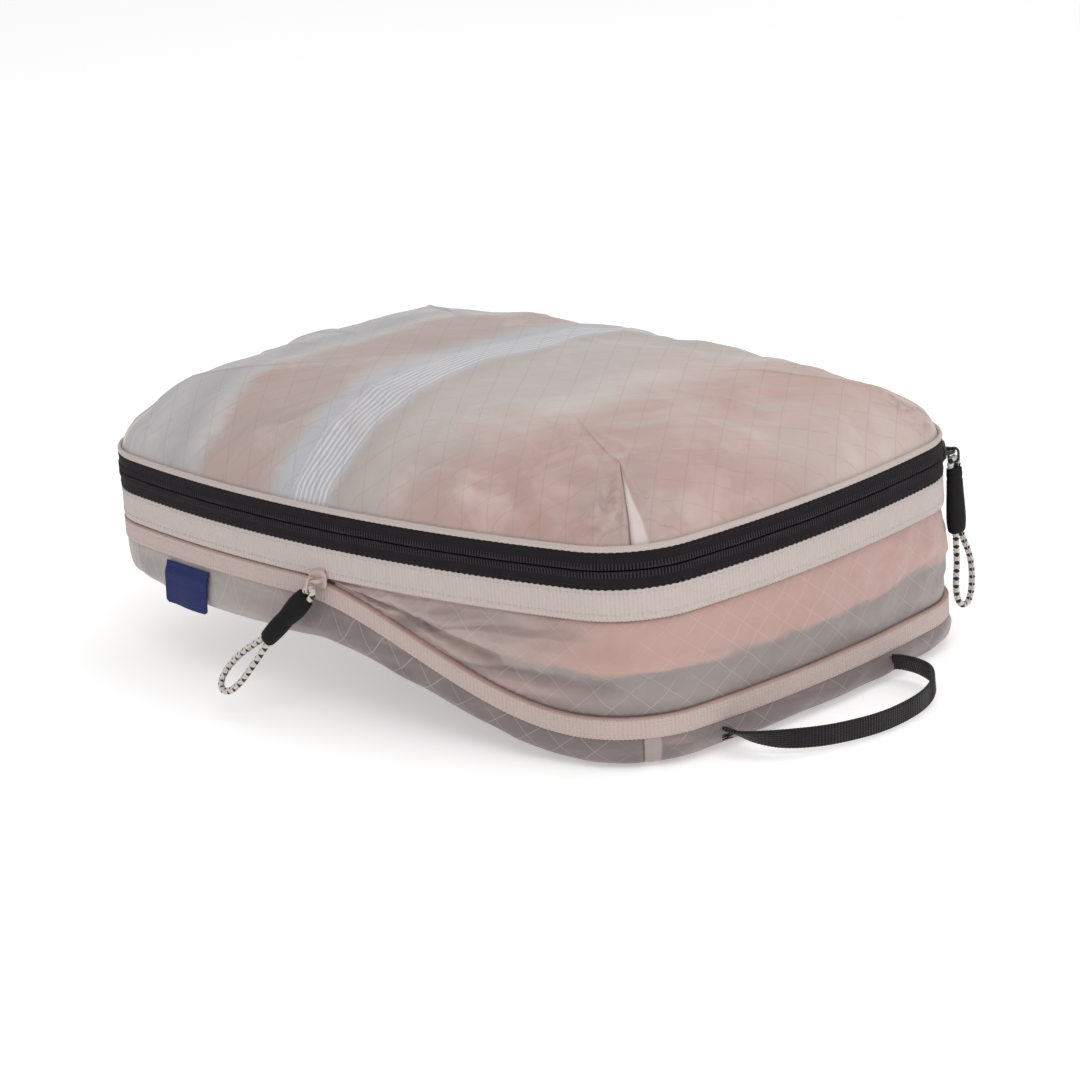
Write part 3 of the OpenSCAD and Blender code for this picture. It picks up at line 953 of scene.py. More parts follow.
def lid_grid():
    """Arc lengths, closer at the darts, against inward distances, closer at the hem."""
    beside_dart = np.array([-2.4, -1.5, -0.8, -0.3, 0.3, 0.8, 1.5, 2.4])
    s = np.concatenate([around(400)] + [middle + beside_dart for middle in CORNER_MIDDLES])
    s = np.unique(np.round(np.mod(s, PERIMETER), 3))
    top = LID_RIM + (LID_REACH - LID_RIM) * np.linspace(0, 0.93, 27)[1:]
    inward = np.concatenate([[0, 0.8, 1.8, 3.0, 4.4], np.linspace(6, LID_RIM, 20), top])
    return np.meshgrid(s, inward, indexing="ij")


def build_lid():
    s, inward = lid_grid()
    x, y, nx, ny = path(s, -np.minimum(inward, LID_RIM))
    scale = 1 - np.clip((inward - LID_RIM) / (LID_REACH - LID_RIM), 0, 1)
    x, y = x * scale, y * scale
    inside = ease(inward / 30.0)
    height = lid_height(inward)
    height = height - 4.2 * (x / 150.0) * inside * ease(inward / 60.0)
    height += 2.6 * (1 - np.exp(-inward / 3.0)) * (1 - np.clip(inward / 100.0, 0, 1))
    bulge = 1.5 * np.sin(np.pi * np.clip(inward / 16.0, 0, 1))
    x, y = x + nx * bulge, y + ny * bulge
    wrinkle = lid_wrinkle(s, inward, x, y, inside)
    # near the rim the wrinkles push sideways as well as up
    sideways = np.clip(1 - inward / 45.0, 0, 1)
    x = x + nx * wrinkle * sideways * 0.8
    y = y + ny * wrinkle * sideways * 0.8
    z = Z_LID + height + wrinkle * (1 - 0.4 * sideways)
    offset = corner_offset(s)
    lid = make("lid_cloth",
               with_apex(columns(x, y, z), (0, 0, Z_LID + lid_height(LID_REACH) + 0.4)),
               dome_faces(*s.shape), LID_CLOTH,
               uv=with_apex(columns(x, y), (0, 0)), seam=seam_map(offset, inward))
    pin = np.concatenate([(1 - ease((inward - 1.5) / 8.0)).reshape(-1), [0]])
    off_dart = 0.15 + 0.85 * ease((np.abs(offset) - 3) / 10.0)
    drape(lid, np.maximum(pin, 0.06), s.shape, frames=26, pressure=0.2, shrink=-0.03,
          keep_broad=0.04, limit=1.0, mask=(1 - ease((inward - 38) / 45.0)) * off_dart)
    thicken(lid, 0.5)
    ride(lid, "lid", "ripstop_blush", "lid_shell")


# ---------------------------------------------------------------- bindings and zips
def ribbed(height, period, beyond):
    """Ribs on the part of a profile that lies further out than beyond."""
    def shift(s, out, z):
        return out + np.where(out > beyond, height * ripple(s, period), 0), z
    return shift


def serrated(edge, depth, rib):
    """Ribs on the outer face and a toothed lower edge at z = edge."""
    def shift(s, out, z):
        wave = ripple(s, 1.9)
        return out + np.where(out > 0.2, rib * wave, 0), z + np.where(z < edge + 0.8,
                                                                      depth * wave, 0)
    return shift


def toothed(phase, height=0.3):
    """Flat-topped teeth on the outer part of a coil."""
    def shift(s, out, z):
        wave = np.clip(1.6 * np.sin(s * 2 * math.pi / 1.45 + phase), -1, 1)
        return out + np.where(out > -1.0, height * wave, 0), z
    return shift


def main_zip_face(s, out, z):
    """Rows of tooth ribs beside the middle line and a woven edge away from it."""
    off = z - Z_MAIN
    rib = np.where((out > 0.2) & (np.abs(off) < 3.4), 0.28 + 0.24 * ripple(s, 1.5), 0)
    edge = np.where(np.abs(off) > 7.2, np.sign(off) * 0.3 * ripple(s, 3.1), 0)
    return out + rib, z + edge


def inner_binding(name, inner, outer, low, high, raised=False):
    soft = 0.4
    return sweep(name, around(1600)[::2], band(inner, outer, low, high, soft, 4),
                 CREAM_BINDING, closed=True, raised=raised,
                 shift=ribbed(0.05, 2.2, outer - soft))


def build_lid_edge():
    # (outward, z above the top of the main zip)
    piping = [(-0.3, -0.1), (0.8, -0.1), (1.3, 0.6), (1.4, 1.6),
              (1.0, 2.5), (0.2, 2.9), (-0.4, 2.2), (-0.4, 0.8)]
    ob = sweep("lid_piping", around(1600), [(out, Z_MAIN_TOP + z) for out, z in piping],
               HEM_FOLD, closed=True, shift=ribbed(0.05, 2.6, 0.9))
    ride(ob, "lid", "cream_binding", "lid_binding")
    ob = inner_binding("lid_inner_binding", -2.8, -1.6, Z_MAIN_TOP - 3.3, Z_MAIN_TOP - 1.3)
    ride(ob, "lid", "cream_binding", "lid_seam_binding")


def build_main_zip():
    # half, body, direction away from the middle line, tape low and high, stitch height
    halves = [
        ("upper", "lid", 1, Z_MAIN + 0.45, Z_MAIN_TOP + 0.3, Z_MAIN_TOP - 1.4),
        ("lower", "bag", -1, Z_BAND_TOP - 0.4, Z_MAIN - 0.45, Z_BAND_TOP + 1.5),
    ]
    face = 1.15
    # (outward, distance from the coil's line, away from the middle)
    coil = [(0.75, -0.35), (1.02, -0.05), (1.05, 0.65), (0.9, 1.1), (-2.1, 1.3), (-2.1, -0.35)]
    for half, body, _, low, high, _ in halves:
        tape = sweep("main_zip_tape_" + half, np.arange(ZIP_START, ZIP_END + 0.01, 0.375),
                     band(-0.3, face, low, high, 0.3, 9), BLACK_TAPE, shift=main_zip_face)
        ride(tape, body, "black_tape", f"main_zip_{half}_tape")
    for half, body, away, _, _, _ in halves:
        line = Z_MAIN + away * 0.62
        phase = 0.0 if half == "upper" else math.pi
        teeth = sweep("main_zip_teeth_" + half, np.arange(ZIP_START, ZIP_END, 0.3),
                      [(out, line + away * z) for out, z in coil], BLACK_COIL,
                      shift=toothed(phase))
        ride(teeth, body, "black_coil", f"main_zip_{half}_coil")
    for half, body, _, _, _, z in halves:
        row = stitches("main_zip_stitch_" + half, ZIP_START + 4, ZIP_END - 4, face, z,
                       BLACK_THREAD, pitch=3.1, length=2.2)
        ride(row, body, "black_tape")


def build_band():
    """Upper half of the compression zip: cream tape with a toothed lower edge."""
    tape = sweep("comp_zip_tape_upper", around(2200),
                 band(-0.3, 0.85, Z_COMP + 0.5, Z_BAND_TOP - 0.35, 0.3, 8), CREAM_TAPE,
                 closed=True, shift=serrated(Z_COMP + 0.5, depth=0.35, rib=0.12))
    ride(tape, "bag", "cream_tape", "comp_zip_upper_tape")
    # (outward, z above the closing line)
    coil = [(-0.5, 0.15), (0.35, 0.25), (0.5, 0.9), (-0.2, 2.2), (-2.2, 2.4), (-2.2, 0.3)]
    teeth = sweep("comp_zip_teeth_upper", around(2600),
                  [(out, Z_COMP + z) for out, z in coil], CREAM_COIL,
                  closed=True, shift=toothed(0.0, height=0.22))
    ride(teeth, "bag", "cream_coil", "comp_zip_upper_coil")
    for row, z in (("a", Z_BAND_TOP - 2.4), ("b", Z_COMP + 3.2)):
        ride(stitches("comp_stitch_upper_" + row, 0, PERIMETER, 0.95, z, CREAM_THREAD),
             "bag", "cream_tape")
    binding = inner_binding("band_inner_binding", -2.4, -1.2, Z_BAND_TOP - 6, Z_BAND_TOP - 0.2)
    ride(binding, "bag", "cream_binding", "band_seam_binding")


def build_spine():
    """Fold of cloth along the +Y side that the lid turns on."""
    z = np.linspace(Z_BAND_TOP - 1, Z_MAIN_TOP + 1, 15)
    crease = 1.0 - 1.1 * bell(z - Z_MAIN, 2.0)
    profile = list(zip(0.2 + crease, z)) + list(zip(-0.9 + crease[::-1], z[::-1]))

    def wrinkled(s, out, z):
        return out + 0.25 * np.sin(s / 9.0 + z * 0.4) * np.sin(s / 23.0), z

    spine = sweep("spine_fold", np.linspace(ZIP_END + 0.3, PERIMETER + ZIP_START + 3, 300),
                  profile, CREAM_TAPE, shift=wrinkled)
    HALF_Y * MM
    HALF_Y * MM
    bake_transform(spine)
    describe("cream_tape", ["spine_panel", "lid_hinge_panel"])


# ---------------------------------------------------------------- gusset
def build_gusset():
    """share runs from 0 at the foot of the gusset to 1 at the closing line."""
    rows, cols = 560, 30
    s, share = np.meshgrid(around(rows), np.linspace(0, 1, cols), indexing="ij")
    raised = lift(path(s)[0])
    gap = TRAVEL - raised
    opened = gap / TRAVEL
    slack = np.sin(np.pi * share) ** 0.7
    loose = 0.35 + 0.65 * opened
    wrinkle = (Waves(21, 60, aniso=2.4)(s, share * GUSSET_DEPTH) * 1.5
               + Waves(22, 26, aniso=2.0)(s, share * GUSSET_DEPTH) * 0.9
               + Waves(23, 15, aniso=1.6)(s, share * 40) * 0.35
               + 0.22 * Waves(24, 8, aniso=1.4)(s, share * 40))
    out = -1.6 + slack * (2.4 * opened + wrinkle * loose)
    # a long ridge and groove that run from the middle of the -Y side towards +X
    middle = LONG_SIDE / 2
    past = np.maximum(s - middle, 0)
    front = (s > middle) & (s < LAST_CORNER)
    line = 0.66 - 0.10 * ease(past / 110.0)
    start = ease(past / 25)
    ridge = bell(share - line, 0.13) * start * (1 - ease((past - 120) / 120.0))
    groove = bell(share - line + 0.24, 0.10) * start * (1 - ease((past - 110) / 110.0))
    out = out + np.where(front, 3.4 * ridge - 4.6 * groove, 0) * slack
    # tighter folds just past the middle
    tight = 1.1 * np.sin(share * 2 * math.pi * 2.2 + past / 16.0) * bell(past - 45, 1.0) * 0
    tight = 1.1 * np.sin(share * 2 * math.pi * 2.2 + past / 16.0) * np.exp(
        -((past - 45) / 40.0) ** 2) * slack
    out = out + np.where(front, tight, 0)
    out = np.clip(np.where(gap < 3, -2.6, out), -7.5, 2.7)
    top = Z_COMP + 0.4
    foot = Z_FOOT - 0.4 + raised
    z = top - np.maximum(top - foot, 1.2) * (1 - share)
    x, y, _, _ = path(s, out)
    gusset = make("gusset_cloth", columns(x, y, z), grid_faces(rows, cols, close_rows=True),
                  GUSSET_CLOTH, columns(s, z))
    pin = np.maximum(1 - ease(np.minimum(share, 1 - share) / 0.12), 0.08)
    pin = np.where(gap < 6, 1.0, pin).reshape(-1)
    drape(gusset, pin, (rows, cols), frames=24, pressure=0.15, shrink=-0.035,
          keep_broad=0.4, limit=2.0,
          mask=np.where((s > middle) & (past < 190), 0.9, 0.3))
    thicken(gusset, 0.4)
    squash(gusset)
    describe("ripstop_rose", ["gusset"])


# ---------------------------------------------------------------- base tray
# wall from the tape down to the floor: (outward, z)
TRAY_WALL = [
    (0.0, Z_TRAY + 0.6), (0.9, Z_TRAY - 1.5), (1.5, Z_TRAY - 4.0), (1.2, Z_TRAY - 7.0),
    (-0.4, 3.8), (-3.4, 1.7), (-7.6, 0.5), (-12.5, 0.05),
]
# sizes of the rings across the floor, as shares of the wall's last ring
TRAY_FLOOR = np.array([0.96, 0.9, 0.82, 0.74, 0.65, 0.56, 0.46, 0.36, 0.26, 0.16, 0.07])


def build_base():
    rows = 480
    sag_depth = 9.0     # how far the raised end hangs below its seam
    wall = curve_through(TRAY_WALL, 3)
    wall_count, floor_count = len(wall), len(TRAY_FLOOR)

    def then(wall_values, floor_value):
        return np.concatenate([wall_values, np.full(floor_count, floor_value)])

    s = around(rows)[:, None]
    out, z = then(wall[:, 0], wall[-1, 0]), then(wall[:, 1], 0.05)
    scale = np.concatenate([np.ones(wall_count), TRAY_FLOOR])
    arch = then(np.sin(np.linspace(0, math.pi, wall_count)), 0.0)
    bulge = (Waves(31, 48, aniso=1.6)(s, z * 2.0) * 0.9
             + Waves(32, 20, aniso=1.2)(s, z * 2.0) * 0.45)
    edge_x, _, nx, ny = path(s)
    depth = then(np.linspace(0, 1, wall_count), 1.0)
    # the wall leans in at the -X end
    out = out + bulge * arch - 13.0 * ease((-edge_x - 80) / 90.0) * depth ** 1.4
    x, y, _, _ = path(s, np.maximum(out, -36))
    x, y = x * scale, y * scale
    hanging = then(ease(np.arange(wall_count) / 8.0), 1.0)
    sag = sag_depth * (1 - ease((x + 40) / 150.0)) * hanging
    belly = 2.2 * Waves(33, 70)(x, y) * (1 - scale) * (1 - openness(x))
    offset = corner_offset(s)
    pinch = bell(offset, 1.6) * arch ** 0.6
    x = x - nx * pinch
    y = y - ny * pinch
    z = np.maximum(z + lift(x) - sag + belly, 0.02)
    middle_z = float(lift(np.array(0.0)) - sag_depth * (1 - ease(40 / 150.0)))
    wall_run = run_length(wall)
    run = np.concatenate([wall_run, wall_run[-1] + (1 - TRAY_FLOOR) * 130])
    base = make("base_cloth", with_apex(columns(x, y, z), (0, 0, middle_z)),
                dome_faces(rows, wall_count + floor_count), BASE_CLOTH,
                uv=with_apex(columns(s, run), (0, 0)), seam=seam_map(offset, run))
    thicken(base, 0.4)
    bend(base, "ripstop_grey", "base_shell")


def build_tray_tape():
    """Lower half of the compression zip, which rises with the base."""
    tape = sweep("comp_zip_tape_lower", around(2200),
                 band(-0.3, 0.95, Z_TRAY - 0.3, Z_FOOT - 0.9, 0.3, 7), LOWER_TAPE,
                 closed=True, raised=True, shift=serrated(Z_TRAY - 0.3, depth=0.22, rib=0.10))
    bend(tape, "cream_tape", "comp_zip_lower_tape")
    # (outward, z from the foot of the gusset)
    coil = [(-0.5, -0.2), (0.55, -0.25), (0.95, -0.9), (0.6, -1.7), (-2.2, -2.0), (-2.2, -0.2)]
    teeth = sweep("comp_zip_teeth_lower", around(2600),
                  [(out, Z_FOOT + z) for out, z in coil], CREAM_COIL,
                  closed=True, raised=True, shift=toothed(math.pi, height=0.26))
    bend(teeth, "cream_coil", "comp_zip_lower_coil")
    for row, z in (("a", Z_TRAY + 1.3), ("b", Z_FOOT - 3.4)):
        bend(stitches("comp_stitch_lower_" + row, 0, PERIMETER, 0.98, z, CREAM_THREAD,
                      raised=True), "cream_tape")
    binding = inner_binding("base_inner_binding", -3.2, -1.9, Z_TRAY - 4, Z_TRAY + 3,
                            raised=True)
    bend(binding, "cream_binding", "base_seam_binding")


# ---------------------------------------------------------------- sliders and pulls
# twist: degrees the pull has turned about its length; stand_off: how far its end hangs off
# the wall; groove: relative depth of the ring near the sleeve's top;
# widths: (distance below the eye, half width of the sleeve)
PULLS = {
    "main": dict(
        metal=BLACK_METAL, slot="black_metal", twist=50, stand_off=2.4, groove=0.09,
        widths=[(1.6, 2.9), (2.6, 3.9), (6, 4.0), (12, 4.2), (20, 4.8), (26, 5.05),
                (30, 4.9), (32.4, 4.4), (33.4, 3.3)]),
    "comp": dict(
        metal=CREAM_METAL, slot="cream_metal", twist=0, stand_off=0.0, groove=0.0,
        widths=[(1.6, 3.6), (2.6, 4.8), (6, 5.4), (10, 5.6), (14, 5.0), (17, 4.2),
                (19, 4.3), (23, 4.6), (30, 4.1), (32.4, 3.8), (33.4, 3.1)]),
}
# (distance below the eye, half thickness of the sleeve)
SLEEVE_DEPTHS = [(1.6, 2.0), (2.6, 2.8), (6, 2.95), (12, 3.05), (20, 3.3), (26, 3.4),
                 (30, 3.3), (32.4, 2.9), (33.4, 2.0)]
SLEEVE_ROWS = np.array([1.6, 1.7, 2.0, 2.6, 4, 6, 7, 7.6, 8.2, 10, 14, 18, 22, 26, 29, 31,
                        32.4, 33.0, 33.3, 33.4])
# one side of the cord loop: (sideways, distance below the eye)
CORD_SIDE = [(1.7, -1.6), (2.35, 0.3), (2.2, 2.4), (1.8, 6), (1.72, 12), (1.72, 26), (1.8, 33),
             (2.6, 37.5), (4.0, 44), (5.1, 52), (5.3, 58.5), (4.4, 64), (2.6, 67.2)]
# one half of the slider's bridge: (along the slider, outward)
BRIDGE_HALF = [(-3.9, 2.3), (-3.8, 3.6), (-3.5, 5.2), (-2.5, 6.2), (-0.9, 6.45)]


def mirrored(points):
    return [(-x, y) for x, y in reversed(points)]


def plate(to_bag, x0, x1, y0, y1, narrow, wide, material):
    """A slider plate: half width narrow at x0 and wide at x1, rounded and bevelled."""
    count = 40
    turn = 2 * math.pi * np.arange(count) / count
    middle = (x0 + x1) / 2
    x = middle + (x1 - x0) / 2 * power(np.cos(turn), 0.55)
    half_width = narrow + (wide - narrow) * ease((x - x0) / (x1 - x0) * 1.15)
    z = half_width * power(np.sin(turn), 0.6)
    # (y, size) of each bevel ring
    rings = np.array([(y0, 0.90), (y0 + 0.15, 0.98), (y0 + 0.35, 1.0),
                      (y1 - 0.5, 1.0), (y1 - 0.2, 0.96), (y1, 0.86)])
    y, scale = rings[:, [0]], rings[:, [1]]
    sides = columns(middle + (x - middle) * scale, y, z * scale)
    vertices = np.vstack([sides, [(middle, y0, 0), (middle, y1 + 0.12, 0)]])
    faces = []
    for i in range(len(rings) - 1):
        for j in range(count):
            after = (j + 1) % count
            faces.append([i * count + j, i * count + after,
                          (i + 1) * count + after, (i + 1) * count + j])
    for ring, centre in ((0, len(sides)), (len(rings) - 1, len(sides) + 1)):
        faces += [[ring * count + j, ring * count + (j + 1) % count, centre]
                  for j in range(count)]
    return make("plate", to_bag(vertices), faces, material, vertices[:, [0, 2]])


def build_slider(zip_name, bar, axis, metal, slot):
    """Slider in its own axes: x along the zip, y out of the wall, z up."""
    outward = unit(np.cross(axis, DOWN))
    origin = bar - 6.3 * outward
    axes = np.array([-axis, outward, -DOWN])

    def to_bag(points):
        return origin + np.asarray(points, float) @ axes

    parts = [plate(to_bag, -5.6, 5.4, 1.25, 2.7, 3.0, 4.6, metal),
             plate(to_bag, -5.2, 5.0, -4.2, -3.0, 2.8, 4.3, metal)]
    # neck between the plates, at the wide end
    neck = np.array([(x, y, z) for x in (2.1, 4.3) for y in (-3.1, 1.4) for z in (-0.33, 0.33)])
    neck_faces = [[0, 1, 3, 2], [4, 6, 7, 5], [0, 4, 5, 1],
                  [2, 3, 7, 6], [0, 2, 6, 4], [1, 5, 7, 3]]
    parts.append(make("neck", to_bag(neck), neck_faces, metal, neck[:, :2], smooth=False))

    def flared(length, angle):
        half = length.max() / 2
        return 1 + 0.5 * np.abs(np.sin(angle)) * (np.abs(length - half) / half) ** 2

    bridge = [(x, y, 0) for x, y in BRIDGE_HALF + mirrored(BRIDGE_HALF)]
    parts.append(tube("bridge", to_bag(curve_through(bridge, 8)), 0.78, metal, segments=14,
                      step=0.3, side=axes[2], shape=flared))
    # side rails that hold the tape
    for side in (1, -1):
        rail = [(-4.6, 1.3, side * 2.9), (0.5, 1.1, side * 4.1), (4.4, 1.1, side * 4.25)]
        parts.append(tube("rail", to_bag(curve_through(rail, 6)), 0.45, metal, segments=10,
                          step=0.4, side=axes[1]))
    body = zip_name + "_slider"
    ride(join(body, parts), body, slot, body + "_body")


def build_ring(zip_name, bar, toward_eye, side, metal, slot):
    radius, length = 2.3, 5.8
    turn = np.linspace(0, math.pi, 20)[:, None]
    arc = radius * (np.cos(turn) * side - np.sin(turn) * toward_eye)
    points = np.vstack([bar + toward_eye + arc, bar + toward_eye * (length - radius) - arc])
    ring = tube(zip_name + "_wire_ring", points, 0.6, metal, segments=12, step=0.35,
                side=np.cross(side, toward_eye), closed=True)
    ride(ring, zip_name + "_link", slot, zip_name + "_pull_ring")


def build_cord(zip_name, eye, hang, swing, across, off_wall, stand_off):
    loop = [(0, -2.3)] + CORD_SIDE + [(0, 68.4)] + mirrored(CORD_SIDE)
    sideways, below = curve_through(loop, 10, closed=True).T[:, :, None]
    wobble = 0.35 * np.sin(below / 6.0) * ease((below - 34) / 10)
    away = stand_off * ease((below - 24) / 26)
    points = eye + sideways * across + below * hang + wobble * off_wall + away * swing

    def braided(length, angle):
        turn = 2 * math.pi * length / 1.7
        return 1 + 0.05 * np.sin(turn + angle * 2) + 0.05 * np.sin(turn - angle * 2)

    cord = tube(zip_name + "_cord_loop", points, 1.45, CORD, segments=20, step=0.3,
                side=swing, closed=True, shape=braided)
    ride(cord, zip_name + "_pull", "fleck_cord", zip_name + "_pull_cord")


def build_sleeve(zip_name, eye, hang, across, off_wall, widths, groove):
    """Moulded sleeve round the upper part of the cord."""
    neck = 1 - groove * bell(SLEEVE_ROWS - 7.3, 0.45)
    half_width = np.interp(SLEEVE_ROWS, *zip(*widths)) * neck
    half_depth = np.interp(SLEEVE_ROWS, *zip(*SLEEVE_DEPTHS)) * neck
    rows = resample(np.stack([SLEEVE_ROWS, half_width, half_depth], -1), 0.4)[0]
    count = 36
    angle = np.arange(count) * 2 * math.pi / count
    below, half_width, half_depth = rows.T[:, :, None, None]
    points = (eye + below * hang
              + half_width * power(np.cos(angle), 0.8)[:, None] * across
              + half_depth * power(np.sin(angle), 0.8)[:, None] * off_wall)
    sleeve = make(zip_name + "_sleeve", points.reshape(-1, 3),
                  section_faces(len(rows), count), BLACK_GRIP,
                  columns(rows[:, [0]], angle * 4))
    ride(sleeve, zip_name + "_pull", "black_grip", zip_name + "_pull_sleeve")


def build_pull(zip_name, metal, slot, twist, stand_off, groove, widths):
    bar, axis = joint_mm(zip_name + "_link_lift")
    eye, swing = joint_mm(zip_name + "_pull_swing")
    low, high = box_mm(zip_name + "_pull_sleeve")
    hang = (low + high) / 2 - eye
    hang = unit(hang - swing * hang.dot(swing))
    build_slider(zip_name, bar, axis, metal, slot)
    build_ring(zip_name, bar, unit(eye - bar), swing, metal, slot)
    turn = math.radians(twist)
    flat = np.cross(swing, hang)
    across = flat * math.cos(turn) + swing * math.sin(turn)
    off_wall = swing * math.cos(turn) - flat * math.sin(turn)
    build_cord(zip_name, eye, hang, swing, across, off_wall, stand_off)
    build_sleeve(zip_name, eye, hang, across, off_wall, widths, groove)


# ---------------------------------------------------------------- carry handle
# middle line of the strap at the +X end: (x, y)
HANDLE_LINE = [
    (177.7, -66), (182, -67.5), (191, -67), (203, -60), (213, -46), (219, -27), (221.5, -8),
    (220, 14), (214, 30), (204, 42), (193, 46.5), (184, 46.5), (179.7, 44.5),
]
# strap section: (across its thickness, across its width)
STRAP_SECTION = np.array([
    (0.75, -4.3), (0.75, -2.2), (0.75, 0), (0.75, 2.2), (0.75, 4.3), (0.4, 4.75), (-0.4, 4.75),
    (-0.75, 4.3), (-0.75, 2.2), (-0.75, 0), (-0.75, -2.2), (-0.75, -4.3), (-0.4, -4.75),
    (0.4, -4.75),
])


def build_strap():
    line, length = resample(curve_through(HANDLE_LINE, 10), 0.5)
    tangent = np.gradient(line, axis=0)
    tangent /= np.linalg.norm(tangent, axis=1)[:, None]
    along = length[:, None]
    share = along / length[-1]
    # the strap twists where it enters the seam, more at its first end
    twist = np.radians(-68) * bell(share, 0.14) + np.radians(30) * bell(1 - share, 0.16)
    thick, wide = STRAP_SECTION.T
    thick = thick + np.sign(thick) * 0.12 * ripple(along, 1.6)
    out = thick * np.cos(twist) - wide * np.sin(twist) * 0.85
    up = thick * np.sin(twist) + wide * np.cos(twist)
    x = line[:, [0]] + out * tangent[:, [1]]
    y = line[:, [1]] - out * tangent[:, [0]]
    z = 8.5 + up + 0.5 * np.sin(along / 17.0)
    # the whole loop droops about its root
    root_x, root_z, droop = 184, 8, math.radians(4)
    dx, dz = x - root_x, z - root_z
    x = root_x + dx * math.cos(droop) + dz * math.sin(droop)
    z = root_z + dz * math.cos(droop) - dx * math.sin(droop)
    sides = len(STRAP_SECTION)
    strap = make("handle_strap", columns(x, y, np.maximum(z, 0.3)),
                 section_faces(len(line), sides), WEBBING,
                 columns(along, np.arange(sides) * 2.1))
    ride(strap, "handle", "black_webbing", "handle_webbing")


def build_tacks():
    """Zigzag bar tacks where the strap goes into the seam."""
    section = [(0.2, -0.17), (0.75, -0.12), (0.75, 0.12), (0.2, 0.17)]   # (outward, z)
    bar_faces = [[0, 1, 5, 4], [1, 2, 6, 5], [2, 3, 7, 6], [3, 0, 4, 7],
                 [0, 3, 2, 1], [4, 5, 6, 7]]
    half_width, first_z, pitch = 3.4, 4.6, 0.55
    vertices, faces = [], []
    for y in (-66, 44):
        x = math.sqrt(BOW_END ** 2 - y ** 2) - END_OFFSET
        for i in range(13):
            base = len(vertices)
            slant = 0.35 if i % 2 else -0.35
            for end in (-1, 1):
                vertices += [(x + out, y + end * half_width,
                              first_z + i * pitch + end * slant + dz) for out, dz in section]
            faces += [[base + corner for corner in face] for face in bar_faces]
    vertices = np.array(vertices)
    tacks = make("handle_tacks", vertices, faces, BLACK_THREAD, vertices[:, 1:])
    ride(tacks, "base", "black_webbing", "handle_bar_tacks")


# ---------------------------------------------------------------- label
def build_label():
    half_width, height, corner = 17, 20, 2.0
    hinge, axis = joint_mm("label_flap")
    across, down = np.meshgrid(np.linspace(-half_width, half_width, 35),
                               np.linspace(0, height, 22), indexing="ij")
    curl = (0.9 * ease(down / 20) * (1 + 0.4 * np.sin(across / 7.0))
            + 0.25 * np.sin(across / 4.5 + 1) * ease(down / 12))
    hem = 0.35 * bell(down - 1.2, 0.8)
    out = curl + hem + 1.9 * ease(down / 6.0)
    below = down - (height - corner)
    rounding = corner - np.sqrt(np.clip(corner ** 2 - below ** 2, 0, None))
    inset = np.where(below > 0, rounding, 0)
    sideways = np.clip(across, -half_width + inset, half_width - inset)
    points = (hinge - sideways[..., None] * axis + down[..., None] * DOWN
              + out[..., None] * np.cross(axis, DOWN))
    label = make("label_cloth", points.reshape(-1, 3), grid_faces(35, 22), LABEL,
                 columns(across, down))
    thicken(label, 0.45)
    ride(label, "label", "navy_label", "label_tag")


# ---------------------------------------------------------------- packed clothes
# seen when the lid is open: (name, first x, last x, sRGB, stripe sRGB, wave seed)
CLOTHES = [
    ("a", -150, -98, (176, 178, 184), None, 137),
    ("b", -96, -46, (196, 158, 148), None, 138),
    ("c", -44, -2, (214, 212, 214), (150, 158, 176), 139),
    ("d", 0, 62, (190, 180, 172), None, 140),
    ("e", 64, 150, (200, 166, 154), None, 141),
]


def folded_stack(name, x0, x1, z0, z1, half_y, inset, seed, material, floor=None):
    """Rounded block with layer lines; floor(x) gives the lowest z it may reach."""
    turns, levels = 96, 40
    turn, level = np.meshgrid(np.arange(turns) * 2 * math.pi / turns,
                              np.linspace(-math.pi / 2, math.pi / 2, levels), indexing="ij")
    middle_x = (x0 + x1) / 2
    half_x = (x1 - x0) / 2 - 0.5 - inset
    # the stacks at the rounded ends are narrower
    half_y = half_y * (0.88 if abs(middle_x) > 90 else 1.0)
    ring = power(np.cos(level), 0.42)
    x = middle_x + half_x * ring * power(np.cos(turn), 0.28)
    y = half_y * ring * power(np.sin(turn), 0.28)
    rise = (z1 - z0) / 2 * power(np.sin(level), 0.42)
    uneven = 1.5 * Waves(seed, 40)(x, y) * (np.sin(level) > 0)
    layers = np.cos(rise * 2 * math.pi / 7.0)
    y = y * (1 + 0.03 * layers)
    x = middle_x + (x - middle_x) * (1 - 0.02 * layers)
    z = (z0 + z1) / 2 + rise + uneven
    if floor:
        z = np.maximum(z, floor(x))
    return make(name, columns(x, y, z), grid_faces(turns, levels, close_rows=True), material)


def gusset_floor(x):
    return np.minimum(Z_FOOT + 4 + lift(x), Z_COMP - 3)


def build_clothes():
    for name, x0, x1, rgb, stripe, seed in CLOTHES:
        material = shirt_material("shirt_" + name, rgb, stripe)
        top = folded_stack(f"packed_{name}_top", x0, x1, Z_COMP + 2, Z_MAIN + 26, 112, 0,
                           seed, material)
        ride(top, "bag", "ripstop_rose")
        # only the open end has room below the closing line
        if x1 >= 40:
            low = folded_stack(f"packed_{name}_low", x0, x1, Z_FOOT + 6, Z_COMP - 0.5, 108, 3,
                               seed, material, floor=gusset_floor)
            squash(low)
            describe("ripstop_rose", [])


def color_end_stops():
    """The zip end stops stay as they are in the CAD and only change material."""
    for name, material in (("main_zip_end_stops", BLACK_COIL),
                           ("comp_zip_end_stops", CREAM_COIL)):
        materials = frame["nodes"][name].data.materials
        materials.clear()
        materials.append(material)


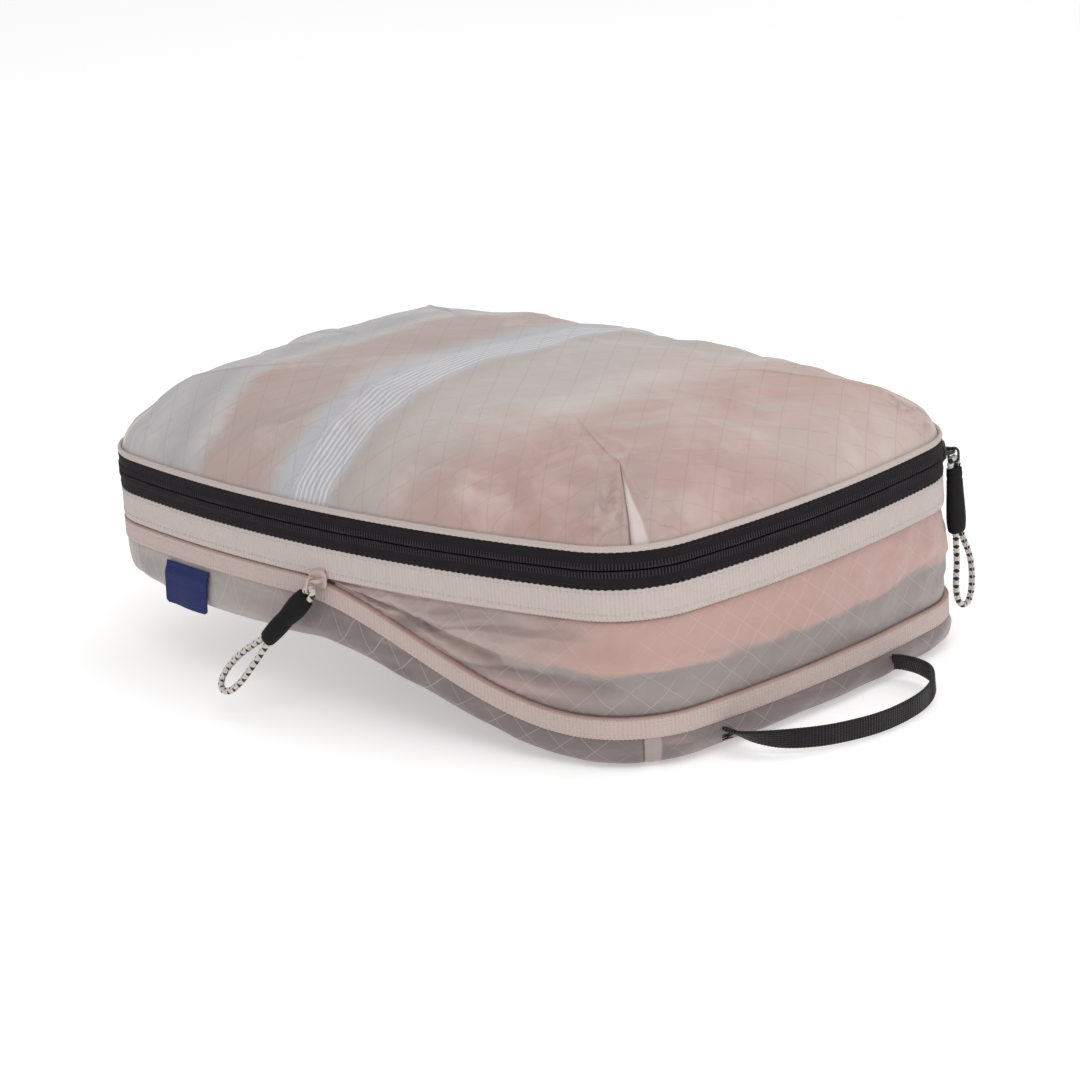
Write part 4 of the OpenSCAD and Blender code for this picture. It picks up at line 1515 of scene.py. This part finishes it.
# ---------------------------------------------------------------- floor, light, camera (m)
def build_floor():
    shader = Shader("floor_pale", roughness=0.9, specular=0.1)
    tone = shader.place.noise(scale=3.0, detail=2.0)
    color = tone.blend((0.90, 0.90, 0.90, 1), (0.93, 0.93, 0.93, 1))
    shader.put(shader.inputs["Base Color"], color)
    shader.inputs["Emission Color"].default_value = (1, 1, 1, 1)
    shader.inputs["Emission Strength"].default_value = 0.34
    half, z = 6, -0.0005
    mesh = bpy.data.meshes.new("floor")
    mesh.from_pydata([(-half, -half, z), (half, -half, z), (half, half, z), (-half, half, z)],
                     [], [(0, 1, 2, 3)])
    floor = link("floor", mesh)
    mesh.materials.append(shader.material)


def build_world():
    world = bpy.data.worlds.new("studio")
    bpy.context.scene.world = world
    world.use_nodes = True
    background = next(n for n in world.node_tree.nodes if n.type == "BACKGROUND")
    background.inputs["Color"].default_value = (1.0, 1.0, 1.0, 1.0)
    background.inputs["Strength"].default_value = 0.62


def area_light(name, location, size, power):
    """Rectangular light aimed at the middle of the bag."""
    light = bpy.data.lights.new(name, "AREA")
    light.shape = "RECTANGLE"
    light.size, light.size_y = size
    light.energy = power
    ob = link(name, light)
    ob.location = location
    aim = Vector((0, 0, 0.06)) - Vector(location)
    ob.rotation_euler = aim.to_track_quat("-Z", "Y").to_euler()


def build_camera():
    """Looks at the +X -Y corner from a little above."""
    azimuth, elevation, roll = math.radians(44.5), math.radians(15.4), math.radians(-4.0)
    distance = 2.0
    back = Vector((math.sin(azimuth) * math.cos(elevation),
                   -math.cos(azimuth) * math.cos(elevation), math.sin(elevation)))
    level = (-back).cross(Vector((0, 0, 1))).normalized()
    upright = level.cross(-back)
    right = level * math.cos(roll) + upright * math.sin(roll)
    up = upright * math.cos(roll) - level * math.sin(roll)
    camera = bpy.data.cameras.new("photo_camera")
    camera.sensor_width = 36.0
    camera.lens = 142.933333
    camera.shift_x = 0.015462963
    camera.shift_y = -0.077777778
    camera.clip_end = 50
    ob = link("photo_camera", camera)
    target = Vector((CENTRE[0] * MM, CENTRE[1] * MM, (Z_MAIN + 1.0) * MM))
    place = target + back * distance
    rows = [(right[i], up[i], back[i], place[i]) for i in range(3)]
    ob.matrix_world = Matrix((*rows, (0, 0, 0, 1)))
    bpy.context.scene.camera = ob
    bpy.context.scene.view_settings.view_transform = "Standard"


build_lid()
build_lid_edge()
build_main_zip()
build_band()
build_spine()
build_gusset()
build_base()
build_tray_tape()
for zip_name, settings in PULLS.items():
    build_pull(zip_name, **settings)
build_strap()
build_tacks()
build_label()
build_clothes()
color_end_stops()
build_floor()
build_world()
area_light("key", location=(0.8, -1.0, 1.5), size=(1.0, 0.8), power=6.0)
area_light("top", location=(0.2, 0.5, 1.8), size=(1.6, 1.2), power=6.0)
area_light("side", location=(1.6, 0.2, 0.8), size=(0.9, 0.7), power=3.0)
build_camera()
